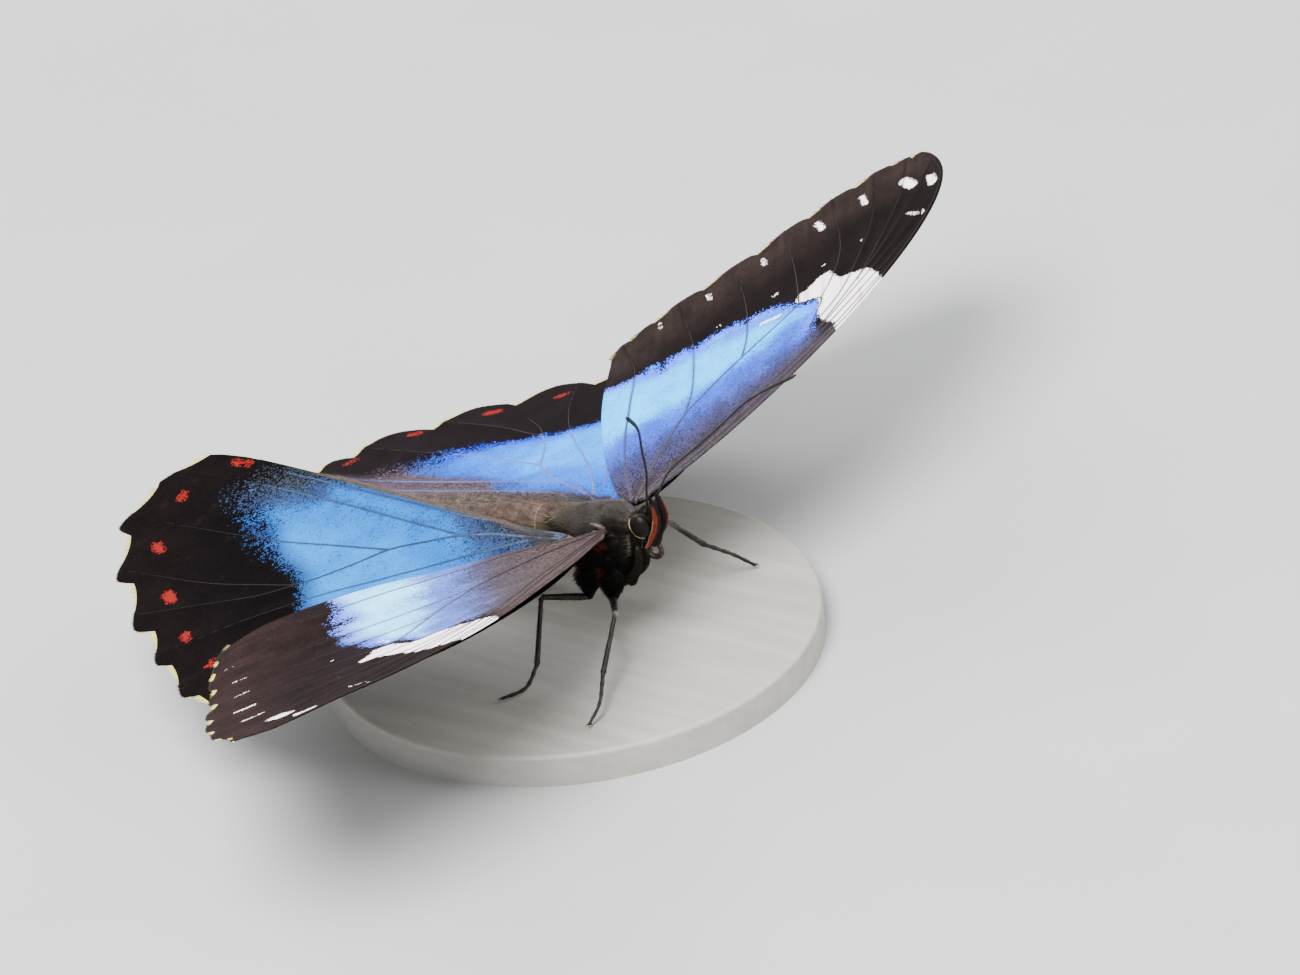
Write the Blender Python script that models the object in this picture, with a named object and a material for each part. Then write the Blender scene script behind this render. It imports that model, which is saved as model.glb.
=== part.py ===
"""Blue morpho butterfly, life size, basking with its wings spread on a plain round base.

The insect faces -Y with its left side on +X, and the origin is the middle of the base's
underside. Shapes are drawn in millimetres from the hinge datum, which lies midway between
the forewing hinges, and each mesh is scaled to metres as it is made. A side is +1 for the
left and -1 for the right. Wing outlines are drawn in a flat wing frame: x runs outwards
along the inner margin and y runs towards the leading edge.
"""

import math

import bmesh
import bpy
from mathutils import Matrix, Vector

MM = 0.001
GAP = 0.3
SHARP_ANGLE = 50.0
SIDES = {"left": 1, "right": -1}

# The base, and where the hinge datum stands over it.
BASE_RADIUS = 29.0
BASE_THICKNESS = 4.0
BASE_EDGE_ROUND = 0.6
BASE_SEGMENTS = 48
BASE_EDGE_STEPS = 2
HINGE_HEIGHT = 16.15
DATUM = Vector((0.0, -9.0, BASE_THICKNESS + GAP + HINGE_HEIGHT))

# Wings: hinge places from the datum, and the pose of each wing in degrees.
WING_THICKNESS = 0.5
FOREWING_HINGE = Vector((3.66, 0.0, 0.0))
HINDWING_HINGE = Vector((2.2, 3.94, -0.55))
FOREWING_POSE = {
    "left": {"sweep": 33.9, "droop": 6.8, "lead_up": 22.7, "arch": 1.9},
    "right": {"sweep": 31.9, "droop": 1.6, "lead_up": 21.6, "arch": 2.3},
}
HINDWING_POSE = {
    "left": {"sweep": 1.8, "droop": 7.2, "lead_up": 12.6, "tip_sag": 0.9},
    "right": {"sweep": 5.8, "droop": 8.9, "lead_up": -1.5, "tip_sag": 0.3},
}

# Forewing outline.
FORE_ROOT_FRONT = (-1.0, 1.9)
FORE_ROOT_REAR = (1.0, -1.6)
FORE_COSTA_PULLS = ((4.0, 16.2), (41.2, 49.1))
FORE_APEX = (60.5, 37.6)
FORE_NOTCHES = (
    (58.8, 35.9),
    (60.2, 33.0),
    (59.0, 27.9),
    (56.8, 21.9),
    (53.8, 15.0),
    (51.4, 7.6),
    (49.3, 1.2),
    (47.6, -1.9),
)
FORE_TORNUS = (44.6, -4.7)
FORE_INNER_PULLS = ((6.4, -5.3), (30.0, -4.2))
FORE_LOBE_RISE = 0.7
FORE_ARCH_START = 8.0
FORE_ARCH_WIDTH = 13.0

# Hindwing outline. The crest is where the anal fold turns down beside the abdomen.
HIND_ROOT_FRONT = (1.5, 1.6)
HIND_ROOT_REAR = (1.5, -1.8)
HIND_COSTA_PULLS = ((8.0, 7.0), (37.0, -6.0))
HIND_APEX = (44.8, -13.4)
HIND_NOTCHES = (
    (45.1, -16.6),
    (43.4, -22.3),
    (41.2, -27.3),
    (36.9, -33.6),
    (31.1, -41.2),
    (24.7, -47.7),
    (17.6, -49.6),
)
HIND_TORNUS = (9.0, -49.2)
HIND_INNER_PULLS = ((2.0, -13.0), (4.2, -38.0))
HIND_LOBE_RISE = 1.4
HIND_CREST_START = 3.4
HIND_CREST_SLOPE = 0.085
HIND_FOLD_DROP = 0.8
HIND_FRONT_DROP = 1.3
HIND_FRONT_WIDTH = 9.0
HIND_FOLD_START = 8.0
HIND_TUCK_START = 2.5
HIND_SAG_REACH = 52.0

FLAT_ROWS = 7
SAMPLES_PER_LOBE = 4

# Body stations: place along Y, half width, underside, top.
THORAX_STATIONS = (
    (-2.45, 1.1, -3.2, 0.9),
    (-2.2, 1.9, -4.6, 1.5),
    (-1.2, 2.6, -6.5, 2.1),
    (0.5, 3.1, -7.8, 2.1),
    (2.5, 3.3, -8.3, 1.6),
    (4.8, 3.2, -8.2, 0.8),
    (6.8, 2.7, -7.4, 0.1),
    (8.0, 2.0, -6.0, -0.6),
    (8.3, 1.4, -5.0, -1.1),
)
BODY_SIDES = 18

ABDOMEN_START = 8.6
ABDOMEN_LENGTH = 13.4
ABDOMEN_SEGMENTS = 7
ABDOMEN_HALF_WIDTH = 2.2
ABDOMEN_CREASE = 0.07
# The spindle is this share of a half sine from its front on, filled out by the power.
ABDOMEN_FRONT_SHARE = 0.2
ABDOMEN_FULLNESS = 0.6
ABDOMEN_TIP_SHARE = 0.2
ABDOMEN_HEIGHT_TO_WIDTH = 1.1
ABDOMEN_FRONT_AXIS = -2.7
ABDOMEN_TIP_AXIS = -5.6
ABDOMEN_SAG_POWER = 1.6

HEAD_CENTRE = Vector((0.0, -3.95, 0.6))
HEAD_RADII = Vector((1.75, 1.1, 1.75))
EYE_CENTRE = Vector((1.55, -4.22, 0.65))
EYE_RADII = Vector((0.82, 1.24, 1.36))
HEAD_GRID = (20, 12)
EYE_GRID = (16, 10)

PALP_RADIUS = 0.42
PALP_ROUTE = (
    (0.95, -4.5, -2.5),
    (0.85, -5.25, -1.3),
    (0.72, -5.95, 0.1),
    (0.66, -6.35, 1.8),
    (0.62, -6.35, 3.3),
    (0.58, -6.1, 4.7),
)
PALP_SWELL = (0.7, 1.0, 1.1, 1.05, 0.85, 0.45)

COIL_CENTRE = Vector((0.0, -4.8, -3.3))
COIL_TURNS = 1.55
COIL_OUTER = 1.05
COIL_PITCH = 0.58
TONGUE_RADIUS = 0.27
COIL_STEPS = 18

ANTENNA_RADIUS = 0.25
CLUB_RADIUS = 0.36
CLUB_START = 0.8
ANTENNA_ROUTES = {
    "left": ((0.75, -4.95, 2.75), (2.5, -6.3, 6.2), (4.5, -8.8, 8.7), (6.0, -11.3, 11.1),
             (8.0, -15.2, 14.95), (10.0, -20.6, 18.3)),
    "right": ((-0.75, -4.95, 2.75), (-1.5, -5.9, 6.0), (-2.6, -7.1, 9.2), (-5.0, -8.8, 13.9),
              (-8.0, -11.0, 18.9), (-11.0, -12.0, 22.4)),
}
ANTENNA_STEPS = 14

# Legs: each joint from the datum. The reduced forelegs lie folded on the breast.
FORELEG_ROUTE = ((1.0, -3.15, -2.8), (1.15, -3.25, -4.4), (1.2, -2.6, -6.4), (1.25, -1.5, -8.2))
FORELEG_RADIUS = 0.4
LEG_JOINTS = {
    "midleg_left": {
        "root": (1.4, 0.9, -8.5), "hip": (2.0, 0.8, -9.9), "knee": (9.0, 1.3, -5.2),
        "ankle": (12.8, -1.8, -10.5), "arch": (16.0, -3.1, -13.3), "toe": (18.4, -4.3, -15.85),
    },
    "midleg_right": {
        "root": (-1.4, 0.9, -8.5), "hip": (-2.0, 0.8, -9.9), "knee": (-7.5, -3.6, -7.8),
        "ankle": (-13.0, -5.0, -12.3), "arch": (-16.0, -6.3, -14.2), "toe": (-18.3, -6.2, -15.85),
    },
    "hindleg_left": {
        "root": (1.4, 4.2, -8.8), "hip": (1.9, 4.3, -10.6), "knee": (6.5, 8.9, -8.2),
        "ankle": (11.5, 11.6, -14.1), "arch": (14.3, 12.5, -15.55), "toe": (16.8, 13.8, -15.85),
    },
    "hindleg_right": {
        "root": (-1.4, 4.2, -8.8), "hip": (-1.9, 4.3, -10.6), "knee": (-7.0, 7.2, -8.5),
        "ankle": (-12.0, 5.2, -14.2), "arch": (-15.0, 4.9, -15.55), "toe": (-17.7, 6.4, -15.85),
    },
}
COXA_RADIUS = 0.85
FEMUR_RADIUS = 0.45
TIBIA_RADIUS = 0.32
TARSUS_RADIUS = 0.27
# How thick a leg piece is along its length, as shares of its radius.
SEGMENT_SHAPE = ((0.0, 0.7), (0.07, 1.0), (0.35, 0.92), (0.7, 0.86), (0.93, 1.0), (1.0, 0.7))
TARSUS_SHAPE = (1.0, 0.95, 0.93, 0.95, 1.0)
TUBE_RESOLUTION = 2

COLOURS = {
    "blue_wing": ((0.10, 0.36, 0.75), 0.35, 0.3),
    "brown_fur": ((0.10, 0.075, 0.06), 0.8, 0.0),
    "mauve_fur": ((0.16, 0.11, 0.10), 0.8, 0.0),
    "black_chitin": ((0.02, 0.016, 0.015), 0.45, 0.0),
    "eye": ((0.01, 0.01, 0.011), 0.08, 0.0),
    "red_palp": ((0.35, 0.06, 0.03), 0.7, 0.0),
    "pale_base": ((0.62, 0.60, 0.56), 0.6, 0.0),
}


def clear_scene():
    """Remove every object of the scene."""
    for obj in list(bpy.data.objects):
        bpy.data.objects.remove(obj, do_unlink=True)


def make_materials():
    """One Principled material for each entry of COLOURS."""
    materials = {}
    for name, (colour, roughness, metallic) in COLOURS.items():
        material = bpy.data.materials.new(name)
        material.use_nodes = True
        shader = material.node_tree.nodes["Principled BSDF"]
        shader.inputs["Base Color"].default_value = (*colour, 1.0)
        shader.inputs["Roughness"].default_value = roughness
        shader.inputs["Metallic"].default_value = metallic
        materials[name] = material
    return materials


def make_datum():
    """The empty that every piece of the insect hangs from."""
    datum = bpy.data.objects.new("hinge_datum", None)
    bpy.context.collection.objects.link(datum)
    datum.location = DATUM * MM
    return datum


def add_mesh(name, bm, material, parent=None):
    """Turn a bmesh drawn in millimetres into a named object in metres."""
    bmesh.ops.scale(bm, vec=(MM, MM, MM), verts=bm.verts)
    bmesh.ops.recalc_face_normals(bm, faces=bm.faces)
    mesh = bpy.data.meshes.new(name)
    bm.to_mesh(mesh)
    bm.free()
    mesh.shade_smooth()
    mesh.set_sharp_from_angle(angle=math.radians(SHARP_ANGLE))
    mesh.materials.append(material)
    obj = bpy.data.objects.new(name, mesh)
    bpy.context.collection.objects.link(obj)
    obj.parent = parent
    return obj


def add_tube(name, points, radii, material, parent):
    """A capped round tube through the points, with its own radius at each."""
    curve = bpy.data.curves.new(name, "CURVE")
    curve.dimensions = "3D"
    curve.bevel_depth = MM
    curve.bevel_resolution = TUBE_RESOLUTION
    curve.use_fill_caps = True
    spline = curve.splines.new("POLY")
    spline.points.add(len(points) - 1)
    for knot, point, radius in zip(spline.points, points, radii):
        knot.co = (*(Vector(point) * MM), 1.0)
        knot.radius = radius
    curve.materials.append(material)
    obj = bpy.data.objects.new(name, curve)
    bpy.context.collection.objects.link(obj)
    obj.parent = parent
    return obj


def ease(amount):
    """Smooth step from 0 to 1."""
    amount = min(max(amount, 0.0), 1.0)
    return amount * amount * (3.0 - 2.0 * amount)


def bezier(start, pulls, end, t):
    """Point of a cubic curve in the wing plane."""
    knots = [Vector(start), Vector(pulls[0]), Vector(pulls[1]), Vector(end)]
    weights = ((1 - t) ** 3, 3 * (1 - t) ** 2 * t, 3 * (1 - t) * t**2, t**3)
    return sum((knot * weight for knot, weight in zip(knots, weights)), Vector((0.0, 0.0)))


def smooth_route(points, steps):
    """Evenly stepped points of a Catmull-Rom curve through the route's own points."""
    knots = [Vector(point) for point in points]
    knots = [2 * knots[0] - knots[1], *knots, 2 * knots[-1] - knots[-2]]
    spans = len(knots) - 3
    route = []
    for step in range(steps + 1):
        place = spans * step / steps
        span = min(int(place), spans - 1)
        t = place - span
        a, b, c, d = knots[span : span + 4]
        route.append(
            0.5 * (2 * b + (c - a) * t + (2 * a - 5 * b + 4 * c - d) * t**2 + (3 * b - a - 3 * c + d) * t**3)
        )
    return route


def scalloped_margin(apex, notches, tornus, rise):
    """Outer margin from apex to tornus: a low lobe at each vein between two notches."""
    corners = [Vector(apex), *(Vector(notch) for notch in notches), Vector(tornus)]
    margin = []
    for start, end in zip(corners, corners[1:]):
        along = end - start
        outwards = Vector((-along.y, along.x)).normalized()
        for sample in range(SAMPLES_PER_LOBE):
            t = sample / SAMPLES_PER_LOBE
            margin.append(start + along * t + outwards * rise * math.sin(math.pi * t))
    margin.append(corners[-1])
    return margin


def wing_patch(front_edge, rear_edge, margin, height):
    """A grid of quads filled in between the root, two edges and the scalloped margin."""
    columns = len(margin)
    bm = bmesh.new()
    grid = bmesh.ops.create_grid(bm, x_segments=FLAT_ROWS, y_segments=columns - 1, size=1.0)
    for vert in grid["verts"]:
        u = round((vert.co.x + 1) / 2 * FLAT_ROWS) / FLAT_ROWS
        column = round((vert.co.y + 1) / 2 * (columns - 1))
        v = column / (columns - 1)
        front, rear = front_edge(u), rear_edge(u)
        root = front_edge(0.0).lerp(rear_edge(0.0), v)
        corners = root.lerp(front_edge(1.0).lerp(rear_edge(1.0), v), u)
        flat = front.lerp(rear, v) + root.lerp(margin[column], u) - corners
        vert.co = Vector((flat.x, -flat.y, height(flat)))
    return bm


def add_wing(name, side, bm, hinge, pose, material, parent):
    """Give the patch its thickness and hang it at its hinge in its pose."""
    sign = SIDES[side]
    bmesh.ops.scale(bm, vec=(sign, 1.0, 1.0), verts=bm.verts)
    obj = add_mesh(name, bm, material, parent)
    obj.location = Vector((sign * hinge.x, hinge.y, hinge.z)) * MM
    obj.rotation_euler = (
        math.radians(-pose["lead_up"]),
        math.radians(sign * pose["droop"]),
        math.radians(sign * pose["sweep"]),
    )
    solidify = obj.modifiers.new("membrane", "SOLIDIFY")
    solidify.thickness = WING_THICKNESS * MM
    solidify.offset = 0.0
    return obj


def add_forewing(side, material, parent):
    """One forewing: its rear half arches up over the hindwing."""
    pose = FOREWING_POSE[side]

    def height(flat):
        along = math.sin(math.pi * min(max(flat.x / FORE_TORNUS[0], 0.0), 1.0))
        return pose["arch"] * along * ease((FORE_ARCH_START - flat.y) / FORE_ARCH_WIDTH)

    bm = wing_patch(
        lambda u: bezier(FORE_ROOT_FRONT, FORE_COSTA_PULLS, FORE_APEX, u),
        lambda u: bezier(FORE_ROOT_REAR, FORE_INNER_PULLS, FORE_TORNUS, u),
        scalloped_margin(FORE_APEX, FORE_NOTCHES, FORE_TORNUS, FORE_LOBE_RISE),
        height,
    )
    return add_wing(f"forewing_{side}", side, bm, FOREWING_HINGE, pose, material, parent)


def add_hindwing(side, material, parent):
    """One hindwing: tucked down under the forewing, with a fold beside the abdomen."""
    pose = HINDWING_POSE[side]

    def height(flat):
        crest = HIND_CREST_START - HIND_CREST_SLOPE * flat.y
        fold = max(crest - flat.x, 0.0) * HIND_FOLD_DROP * ease(-flat.y / HIND_FOLD_START)
        tuck = HIND_FRONT_DROP * ease((flat.y + HIND_FRONT_WIDTH) / HIND_FRONT_WIDTH)
        sag = pose["tip_sag"] * ease(math.hypot(flat.x, flat.y) / HIND_SAG_REACH)
        return -fold - tuck * ease(flat.x / HIND_TUCK_START) - sag

    bm = wing_patch(
        lambda u: bezier(HIND_ROOT_FRONT, HIND_COSTA_PULLS, HIND_APEX, u),
        lambda u: bezier(HIND_ROOT_REAR, HIND_INNER_PULLS, HIND_TORNUS, u),
        scalloped_margin(HIND_APEX, HIND_NOTCHES, HIND_TORNUS, HIND_LOBE_RISE),
        height,
    )
    return add_wing(f"hindwing_{side}", side, bm, HINDWING_HINGE, pose, material, parent)


def loft(stations, sides):
    """Bridge one oval ring per station, and close both ends."""
    bm = bmesh.new()
    rings = []
    for along, half_width, underside, top in stations:
        half_height = (top - underside) / 2
        place = Matrix.Translation((0.0, along, (top + underside) / 2))
        place @= Matrix.Diagonal((half_width, 1.0, half_height, 1.0))
        place @= Matrix.Rotation(math.radians(90), 4, "X")
        made = bmesh.ops.create_circle(bm, cap_ends=False, segments=sides, radius=1.0, matrix=place)
        ring = set(made["verts"])
        rings.append([edge for edge in bm.edges if edge.verts[0] in ring and edge.verts[1] in ring])
    for ring, following in zip(rings, rings[1:]):
        bmesh.ops.bridge_loops(bm, edges=ring + following)
    for end in (rings[0], rings[-1]):
        bmesh.ops.edgeloop_fill(bm, edges=end)
    return bm


def add_thorax(material, parent):
    """The deep, furry thorax."""
    return add_mesh("thorax", loft(THORAX_STATIONS, BODY_SIDES), material, parent)


def add_abdomen(material, parent):
    """The spindle of the abdomen, with a shallow crease between its segments."""
    stations = []
    steps = 2 * ABDOMEN_SEGMENTS
    for step in range(steps + 1):
        t = step / steps
        share = ABDOMEN_FRONT_SHARE + (1 - ABDOMEN_FRONT_SHARE) * t
        swell = math.sin(math.pi * share) ** ABDOMEN_FULLNESS if t < 1 else ABDOMEN_TIP_SHARE
        crease = 1 - ABDOMEN_CREASE * (step % 2 == 0)
        half = ABDOMEN_HALF_WIDTH * swell * crease
        rise = half * ABDOMEN_HEIGHT_TO_WIDTH
        axis = ABDOMEN_FRONT_AXIS + (ABDOMEN_TIP_AXIS - ABDOMEN_FRONT_AXIS) * t**ABDOMEN_SAG_POWER
        stations.append((ABDOMEN_START + ABDOMEN_LENGTH * t, half, axis - rise, axis + rise))
    return add_mesh("abdomen", loft(stations, BODY_SIDES), material, parent)


def ellipsoid(centre, radii, grid):
    """A closed ellipsoid, its grid given as segments around and from pole to pole."""
    bm = bmesh.new()
    bmesh.ops.create_uvsphere(bm, u_segments=grid[0], v_segments=grid[1], radius=1.0)
    bmesh.ops.scale(bm, vec=radii, verts=bm.verts)
    bmesh.ops.translate(bm, vec=centre, verts=bm.verts)
    return bm


def add_head(materials, parent):
    """The head capsule with a socket cut for each eye, and the two eyes in them."""
    head = add_mesh("head", ellipsoid(HEAD_CENTRE, HEAD_RADII, HEAD_GRID), materials["brown_fur"], parent)
    for side, sign in SIDES.items():
        centre = Vector((sign * EYE_CENTRE.x, EYE_CENTRE.y, EYE_CENTRE.z))
        add_mesh(f"eye_{side}", ellipsoid(centre, EYE_RADII, EYE_GRID), materials["eye"], parent)
        room = EYE_RADII + Vector((GAP, GAP, GAP))
        cutter = add_mesh(f"socket_{side}", ellipsoid(centre, room, EYE_GRID), materials["eye"], parent)
        cutter.hide_render = True
        cutter.display_type = "WIRE"
        socket = head.modifiers.new(f"socket_{side}", "BOOLEAN")
        socket.operation = "DIFFERENCE"
        socket.object = cutter


def add_palps(material, parent):
    """The two upturned palps in front of the face."""
    for side, sign in SIDES.items():
        route = [(sign * x, y, z) for x, y, z in PALP_ROUTE]
        radii = [PALP_RADIUS * swell for swell in PALP_SWELL]
        add_tube(f"palp_{side}", route, radii, material, parent)


def add_proboscis(material, parent):
    """The tongue, coiled between the lower ends of the palps."""
    route = []
    for step in range(COIL_STEPS + 1):
        turned = COIL_TURNS * step / COIL_STEPS
        radius = COIL_OUTER - COIL_PITCH * turned
        angle = math.tau * turned
        route.append(COIL_CENTRE + radius * Vector((0.0, math.cos(angle), -math.sin(angle))))
    add_tube("proboscis", route, [TONGUE_RADIUS] * len(route), material, parent)


def add_antennae(material, parent):
    """The two feelers, each thickening into its club."""
    for side, points in ANTENNA_ROUTES.items():
        route = smooth_route(points, ANTENNA_STEPS)
        radii = []
        for step in range(len(route)):
            club = ease((step / ANTENNA_STEPS - CLUB_START) / (1 - CLUB_START))
            radii.append(ANTENNA_RADIUS + (CLUB_RADIUS - ANTENNA_RADIUS) * club)
        add_tube(f"antenna_{side}", route, radii, material, parent)


def add_leg_piece(name, start, end, radius, start_trim, end_trim, material, parent):
    """One straight leg piece between two joints, trimmed to clear its neighbours."""
    start, end = Vector(start), Vector(end)
    along = (end - start).normalized()
    start += along * start_trim
    end -= along * end_trim
    points = [start.lerp(end, t) for t, _ in SEGMENT_SHAPE]
    radii = [radius * share for _, share in SEGMENT_SHAPE]
    return add_tube(name, points, radii, material, parent)


def add_leg(name, joints, material, parent):
    """One walking leg: coxa, femur, tibia and the bent tarsus that rests on its toe."""
    hip_gap = GAP + COXA_RADIUS
    knee_gap = GAP / 2 + TIBIA_RADIUS
    add_leg_piece(f"{name}_coxa", joints["root"], joints["hip"], COXA_RADIUS, 0, 0, material, parent)
    add_leg_piece(
        f"{name}_femur", joints["hip"], joints["knee"], FEMUR_RADIUS, hip_gap, knee_gap, material, parent
    )
    add_leg_piece(
        f"{name}_tibia", joints["knee"], joints["ankle"], TIBIA_RADIUS, knee_gap, GAP, material, parent
    )
    ankle, arch, toe = (Vector(joints[key]) for key in ("ankle", "arch", "toe"))
    ankle += (arch - ankle).normalized() * GAP / 2
    route = [ankle, ankle.lerp(arch, 0.5), arch, arch.lerp(toe, 0.5), toe]
    radii = [TARSUS_RADIUS * share for share in TARSUS_SHAPE]
    add_tube(f"{name}_tarsus", route, radii, material, parent)


def add_forelegs(material, parent):
    """The reduced forelegs, folded down the breast."""
    for side, sign in SIDES.items():
        route = [(sign * x, y, z) for x, y, z in FORELEG_ROUTE]
        add_tube(f"foreleg_{side}", route, [FORELEG_RADIUS] * len(route), material, parent)


def add_base(material):
    """The plain round base with a rounded upper edge."""
    bm = bmesh.new()
    place = Matrix.Translation((0.0, 0.0, BASE_THICKNESS / 2))
    bmesh.ops.create_cone(
        bm, cap_ends=True, segments=BASE_SEGMENTS, radius1=BASE_RADIUS, radius2=BASE_RADIUS,
        depth=BASE_THICKNESS, matrix=place,
    )
    upper = [edge for edge in bm.edges if all(vert.co.z > BASE_THICKNESS - MM for vert in edge.verts)]
    bmesh.ops.bevel(
        bm, geom=upper, offset=BASE_EDGE_ROUND, affect="EDGES", segments=BASE_EDGE_STEPS, profile=0.5,
        material=-1,
    )
    return add_mesh("stand_base", bm, material)


def main():
    clear_scene()
    materials = make_materials()
    datum = make_datum()
    add_base(materials["pale_base"])
    add_thorax(materials["brown_fur"], datum)
    add_abdomen(materials["mauve_fur"], datum)
    add_head(materials, datum)
    add_palps(materials["red_palp"], datum)
    add_proboscis(materials["black_chitin"], datum)
    add_antennae(materials["black_chitin"], datum)
    add_forelegs(materials["black_chitin"], datum)
    for name, joints in LEG_JOINTS.items():
        add_leg(name, joints, materials["black_chitin"], datum)
    for side in SIDES:
        add_forewing(side, materials["blue_wing"], datum)
        add_hindwing(side, materials["blue_wing"], datum)


main()
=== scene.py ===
"""Life-size blue morpho butterfly on a plain round base: finished surfaces around the fixed frame.

The insect faces -Y with its left side on +X. Sizes are in millimetres from the hinge datum, which lies
midway between the forewing hinges, and become metres as each piece is made. Wing shapes and markings are
drawn in a flat wing frame: x runs outwards along the inner margin and y towards the leading edge.
"""

import logging
import math
from dataclasses import dataclass, field, replace
from enum import Enum
from typing import Sequence

import bmesh
import bpy
import numpy as np
from mathutils import Matrix, Vector

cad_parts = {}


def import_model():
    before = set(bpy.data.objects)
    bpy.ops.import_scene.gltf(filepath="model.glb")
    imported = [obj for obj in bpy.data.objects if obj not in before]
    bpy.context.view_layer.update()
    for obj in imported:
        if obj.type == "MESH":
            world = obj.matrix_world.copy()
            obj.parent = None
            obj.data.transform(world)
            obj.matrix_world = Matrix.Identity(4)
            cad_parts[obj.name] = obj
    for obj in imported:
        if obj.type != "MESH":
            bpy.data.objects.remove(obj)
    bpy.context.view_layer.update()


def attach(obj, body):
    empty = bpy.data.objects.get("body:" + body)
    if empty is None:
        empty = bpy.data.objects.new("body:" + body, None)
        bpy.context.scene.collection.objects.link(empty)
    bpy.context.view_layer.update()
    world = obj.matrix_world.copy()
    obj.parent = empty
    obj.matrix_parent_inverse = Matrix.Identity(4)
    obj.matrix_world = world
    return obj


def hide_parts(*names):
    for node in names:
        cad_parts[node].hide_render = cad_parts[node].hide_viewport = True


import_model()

Array = np.ndarray
BMesh = bmesh.types.BMesh
Material = bpy.types.Material
Mesh = bpy.types.Mesh
Node = bpy.types.Node
Piece = bpy.types.Object
Socket = bpy.types.NodeSocket
Points = Sequence[Sequence[float]]
Colour = tuple[float, float, float]
Place = tuple[float, float, float]

LOG = logging.getLogger("morpho")
MM = 0.001
DATUM = np.array((0.0, -9.0, 20.45))
SEED = 1907
TINY = 1e-9
SHEET_CORNER = (5.0, 60.0)
SHEET_SIZE = 110.0
LOBE_CHORD = 8.0
NOWHERE = -9.0


class Side(Enum):
    """The two sides of the insect, with the sign that each takes on X."""

    LEFT = 1
    RIGHT = -1

    @property
    def word(self) -> str:
        """The side's name in lower case."""
        return self.name.lower()


# Plain geometry.


def ease(amount: Array | float) -> Array:
    """Smooth step from 0 to 1 of a number or an array."""
    amount = np.clip(amount, 0.0, 1.0)
    return amount * amount * (3.0 - 2.0 * amount)


def smooth_route(points: Points, per_span: int) -> Array:
    """Run a Catmull-Rom curve through a few points.

    Args:
        points: The points that the curve passes through, in any number of dimensions.
        per_span: Steps between two neighbouring points.

    Returns:
        The curve's points, one per row.
    """
    knots = np.asarray(points, float)
    knots = np.vstack([2 * knots[0] - knots[1], knots, 2 * knots[-1] - knots[-2]])
    route = []
    for span in range(len(knots) - 3):
        a, b, c, d = knots[span : span + 4]
        for step in range(per_span):
            t = step / per_span
            cubic = (3 * b - a - 3 * c + d) * t**3
            route.append(0.5 * (2 * b + (c - a) * t + (2 * a - 5 * b + 4 * c - d) * t**2 + cubic))
    route.append(knots[-2])
    return np.array(route)


def unit(rows: Array) -> Array:
    """Vectors brought to length 1, one per row."""
    return rows / np.linalg.norm(rows, axis=1)[:, None]


def along(route: Array) -> Array:
    """Share of a route's length reached at each of its points, from 0 to 1.

    Args:
        route: The route's points.

    Returns:
        The share at each point.
    """
    steps = np.linalg.norm(np.diff(route, axis=0), axis=1)
    run = np.concatenate([[0.0], np.cumsum(steps)])
    return run / run[-1]


def resample(route: Array, count: int) -> Array:
    """Points spaced evenly along a route.

    Args:
        route: The route's points.
        count: How many points to give.

    Returns:
        The new points.
    """
    place = along(route)
    wanted = np.linspace(0.0, 1.0, count)
    return np.stack([np.interp(wanted, place, route[:, axis]) for axis in range(route.shape[1])], axis=1)


def bezier(start: Sequence[float], pulls: Points, end: Sequence[float], t: Array) -> Array:
    """Points of a cubic curve at the shares t.

    Args:
        start: The first point.
        pulls: The two control points.
        end: The last point.
        t: Shares of the curve.

    Returns:
        One point for each share.
    """
    t = np.asarray(t, float)[:, None]
    knots = [np.asarray(knot, float) for knot in (start, *pulls, end)]
    weights = ((1 - t) ** 3, 3 * (1 - t) ** 2 * t, 3 * (1 - t) * t**2, t**3)
    return sum(knot * weight for knot, weight in zip(knots, weights))


def distance_to_route(points: Array, route: Array) -> Array:
    """Distance of each point from the nearest stretch of a route, in the wing plane.

    Args:
        points: The points.
        route: The route's points.

    Returns:
        The distance of each point.
    """
    best = np.full(len(points), np.inf)
    for start, end in zip(route[:-1], route[1:]):
        step = end - start
        share = np.clip(((points - start) @ step) / max(step @ step, TINY), 0.0, 1.0)
        best = np.minimum(best, np.linalg.norm(points - start - share[:, None] * step, axis=1))
    return best


def depth_inside(points: Array, outline: Array) -> Array:
    """Distance inside a closed outline, negative outside it.

    Args:
        points: The points.
        outline: The outline's points.

    Returns:
        The depth of each point.
    """
    closed = np.vstack([outline, outline[:1]])
    inside = np.zeros(len(points), bool)
    for (ax, ay), (bx, by) in zip(closed[:-1], closed[1:]):
        crosses = (ay > points[:, 1]) != (by > points[:, 1])
        reach = ax + (points[:, 1] - ay) * (bx - ax) / (by - ay if by != ay else TINY)
        inside ^= crosses & (points[:, 0] < reach)
    distance = distance_to_route(points, closed)
    return np.where(inside, distance, -distance)


def depth_in_spots(points: Array, spots: Points) -> Array:
    """Distance inside the nearest of some long spots, negative outside them.

    Args:
        points: Points of the wing plane.
        spots: One row per spot: centre x and y, half length, half width and turn in degrees.

    Returns:
        The depth at each point.
    """
    best = np.full(len(points), -50.0)
    for x, y, half_length, half_width, turn in spots:
        angle = math.radians(turn)
        reach = max(half_length - half_width, 0.01) * np.array((math.cos(angle), math.sin(angle)))
        centre = np.array((x, y))
        route = np.array((centre - reach, centre + reach))
        best = np.maximum(best, half_width - distance_to_route(points, route))
    return best


def world(points: Array) -> Array:
    """Millimetres from the datum to metres in the frame."""
    return (np.asarray(points, float) + DATUM) * MM


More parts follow.
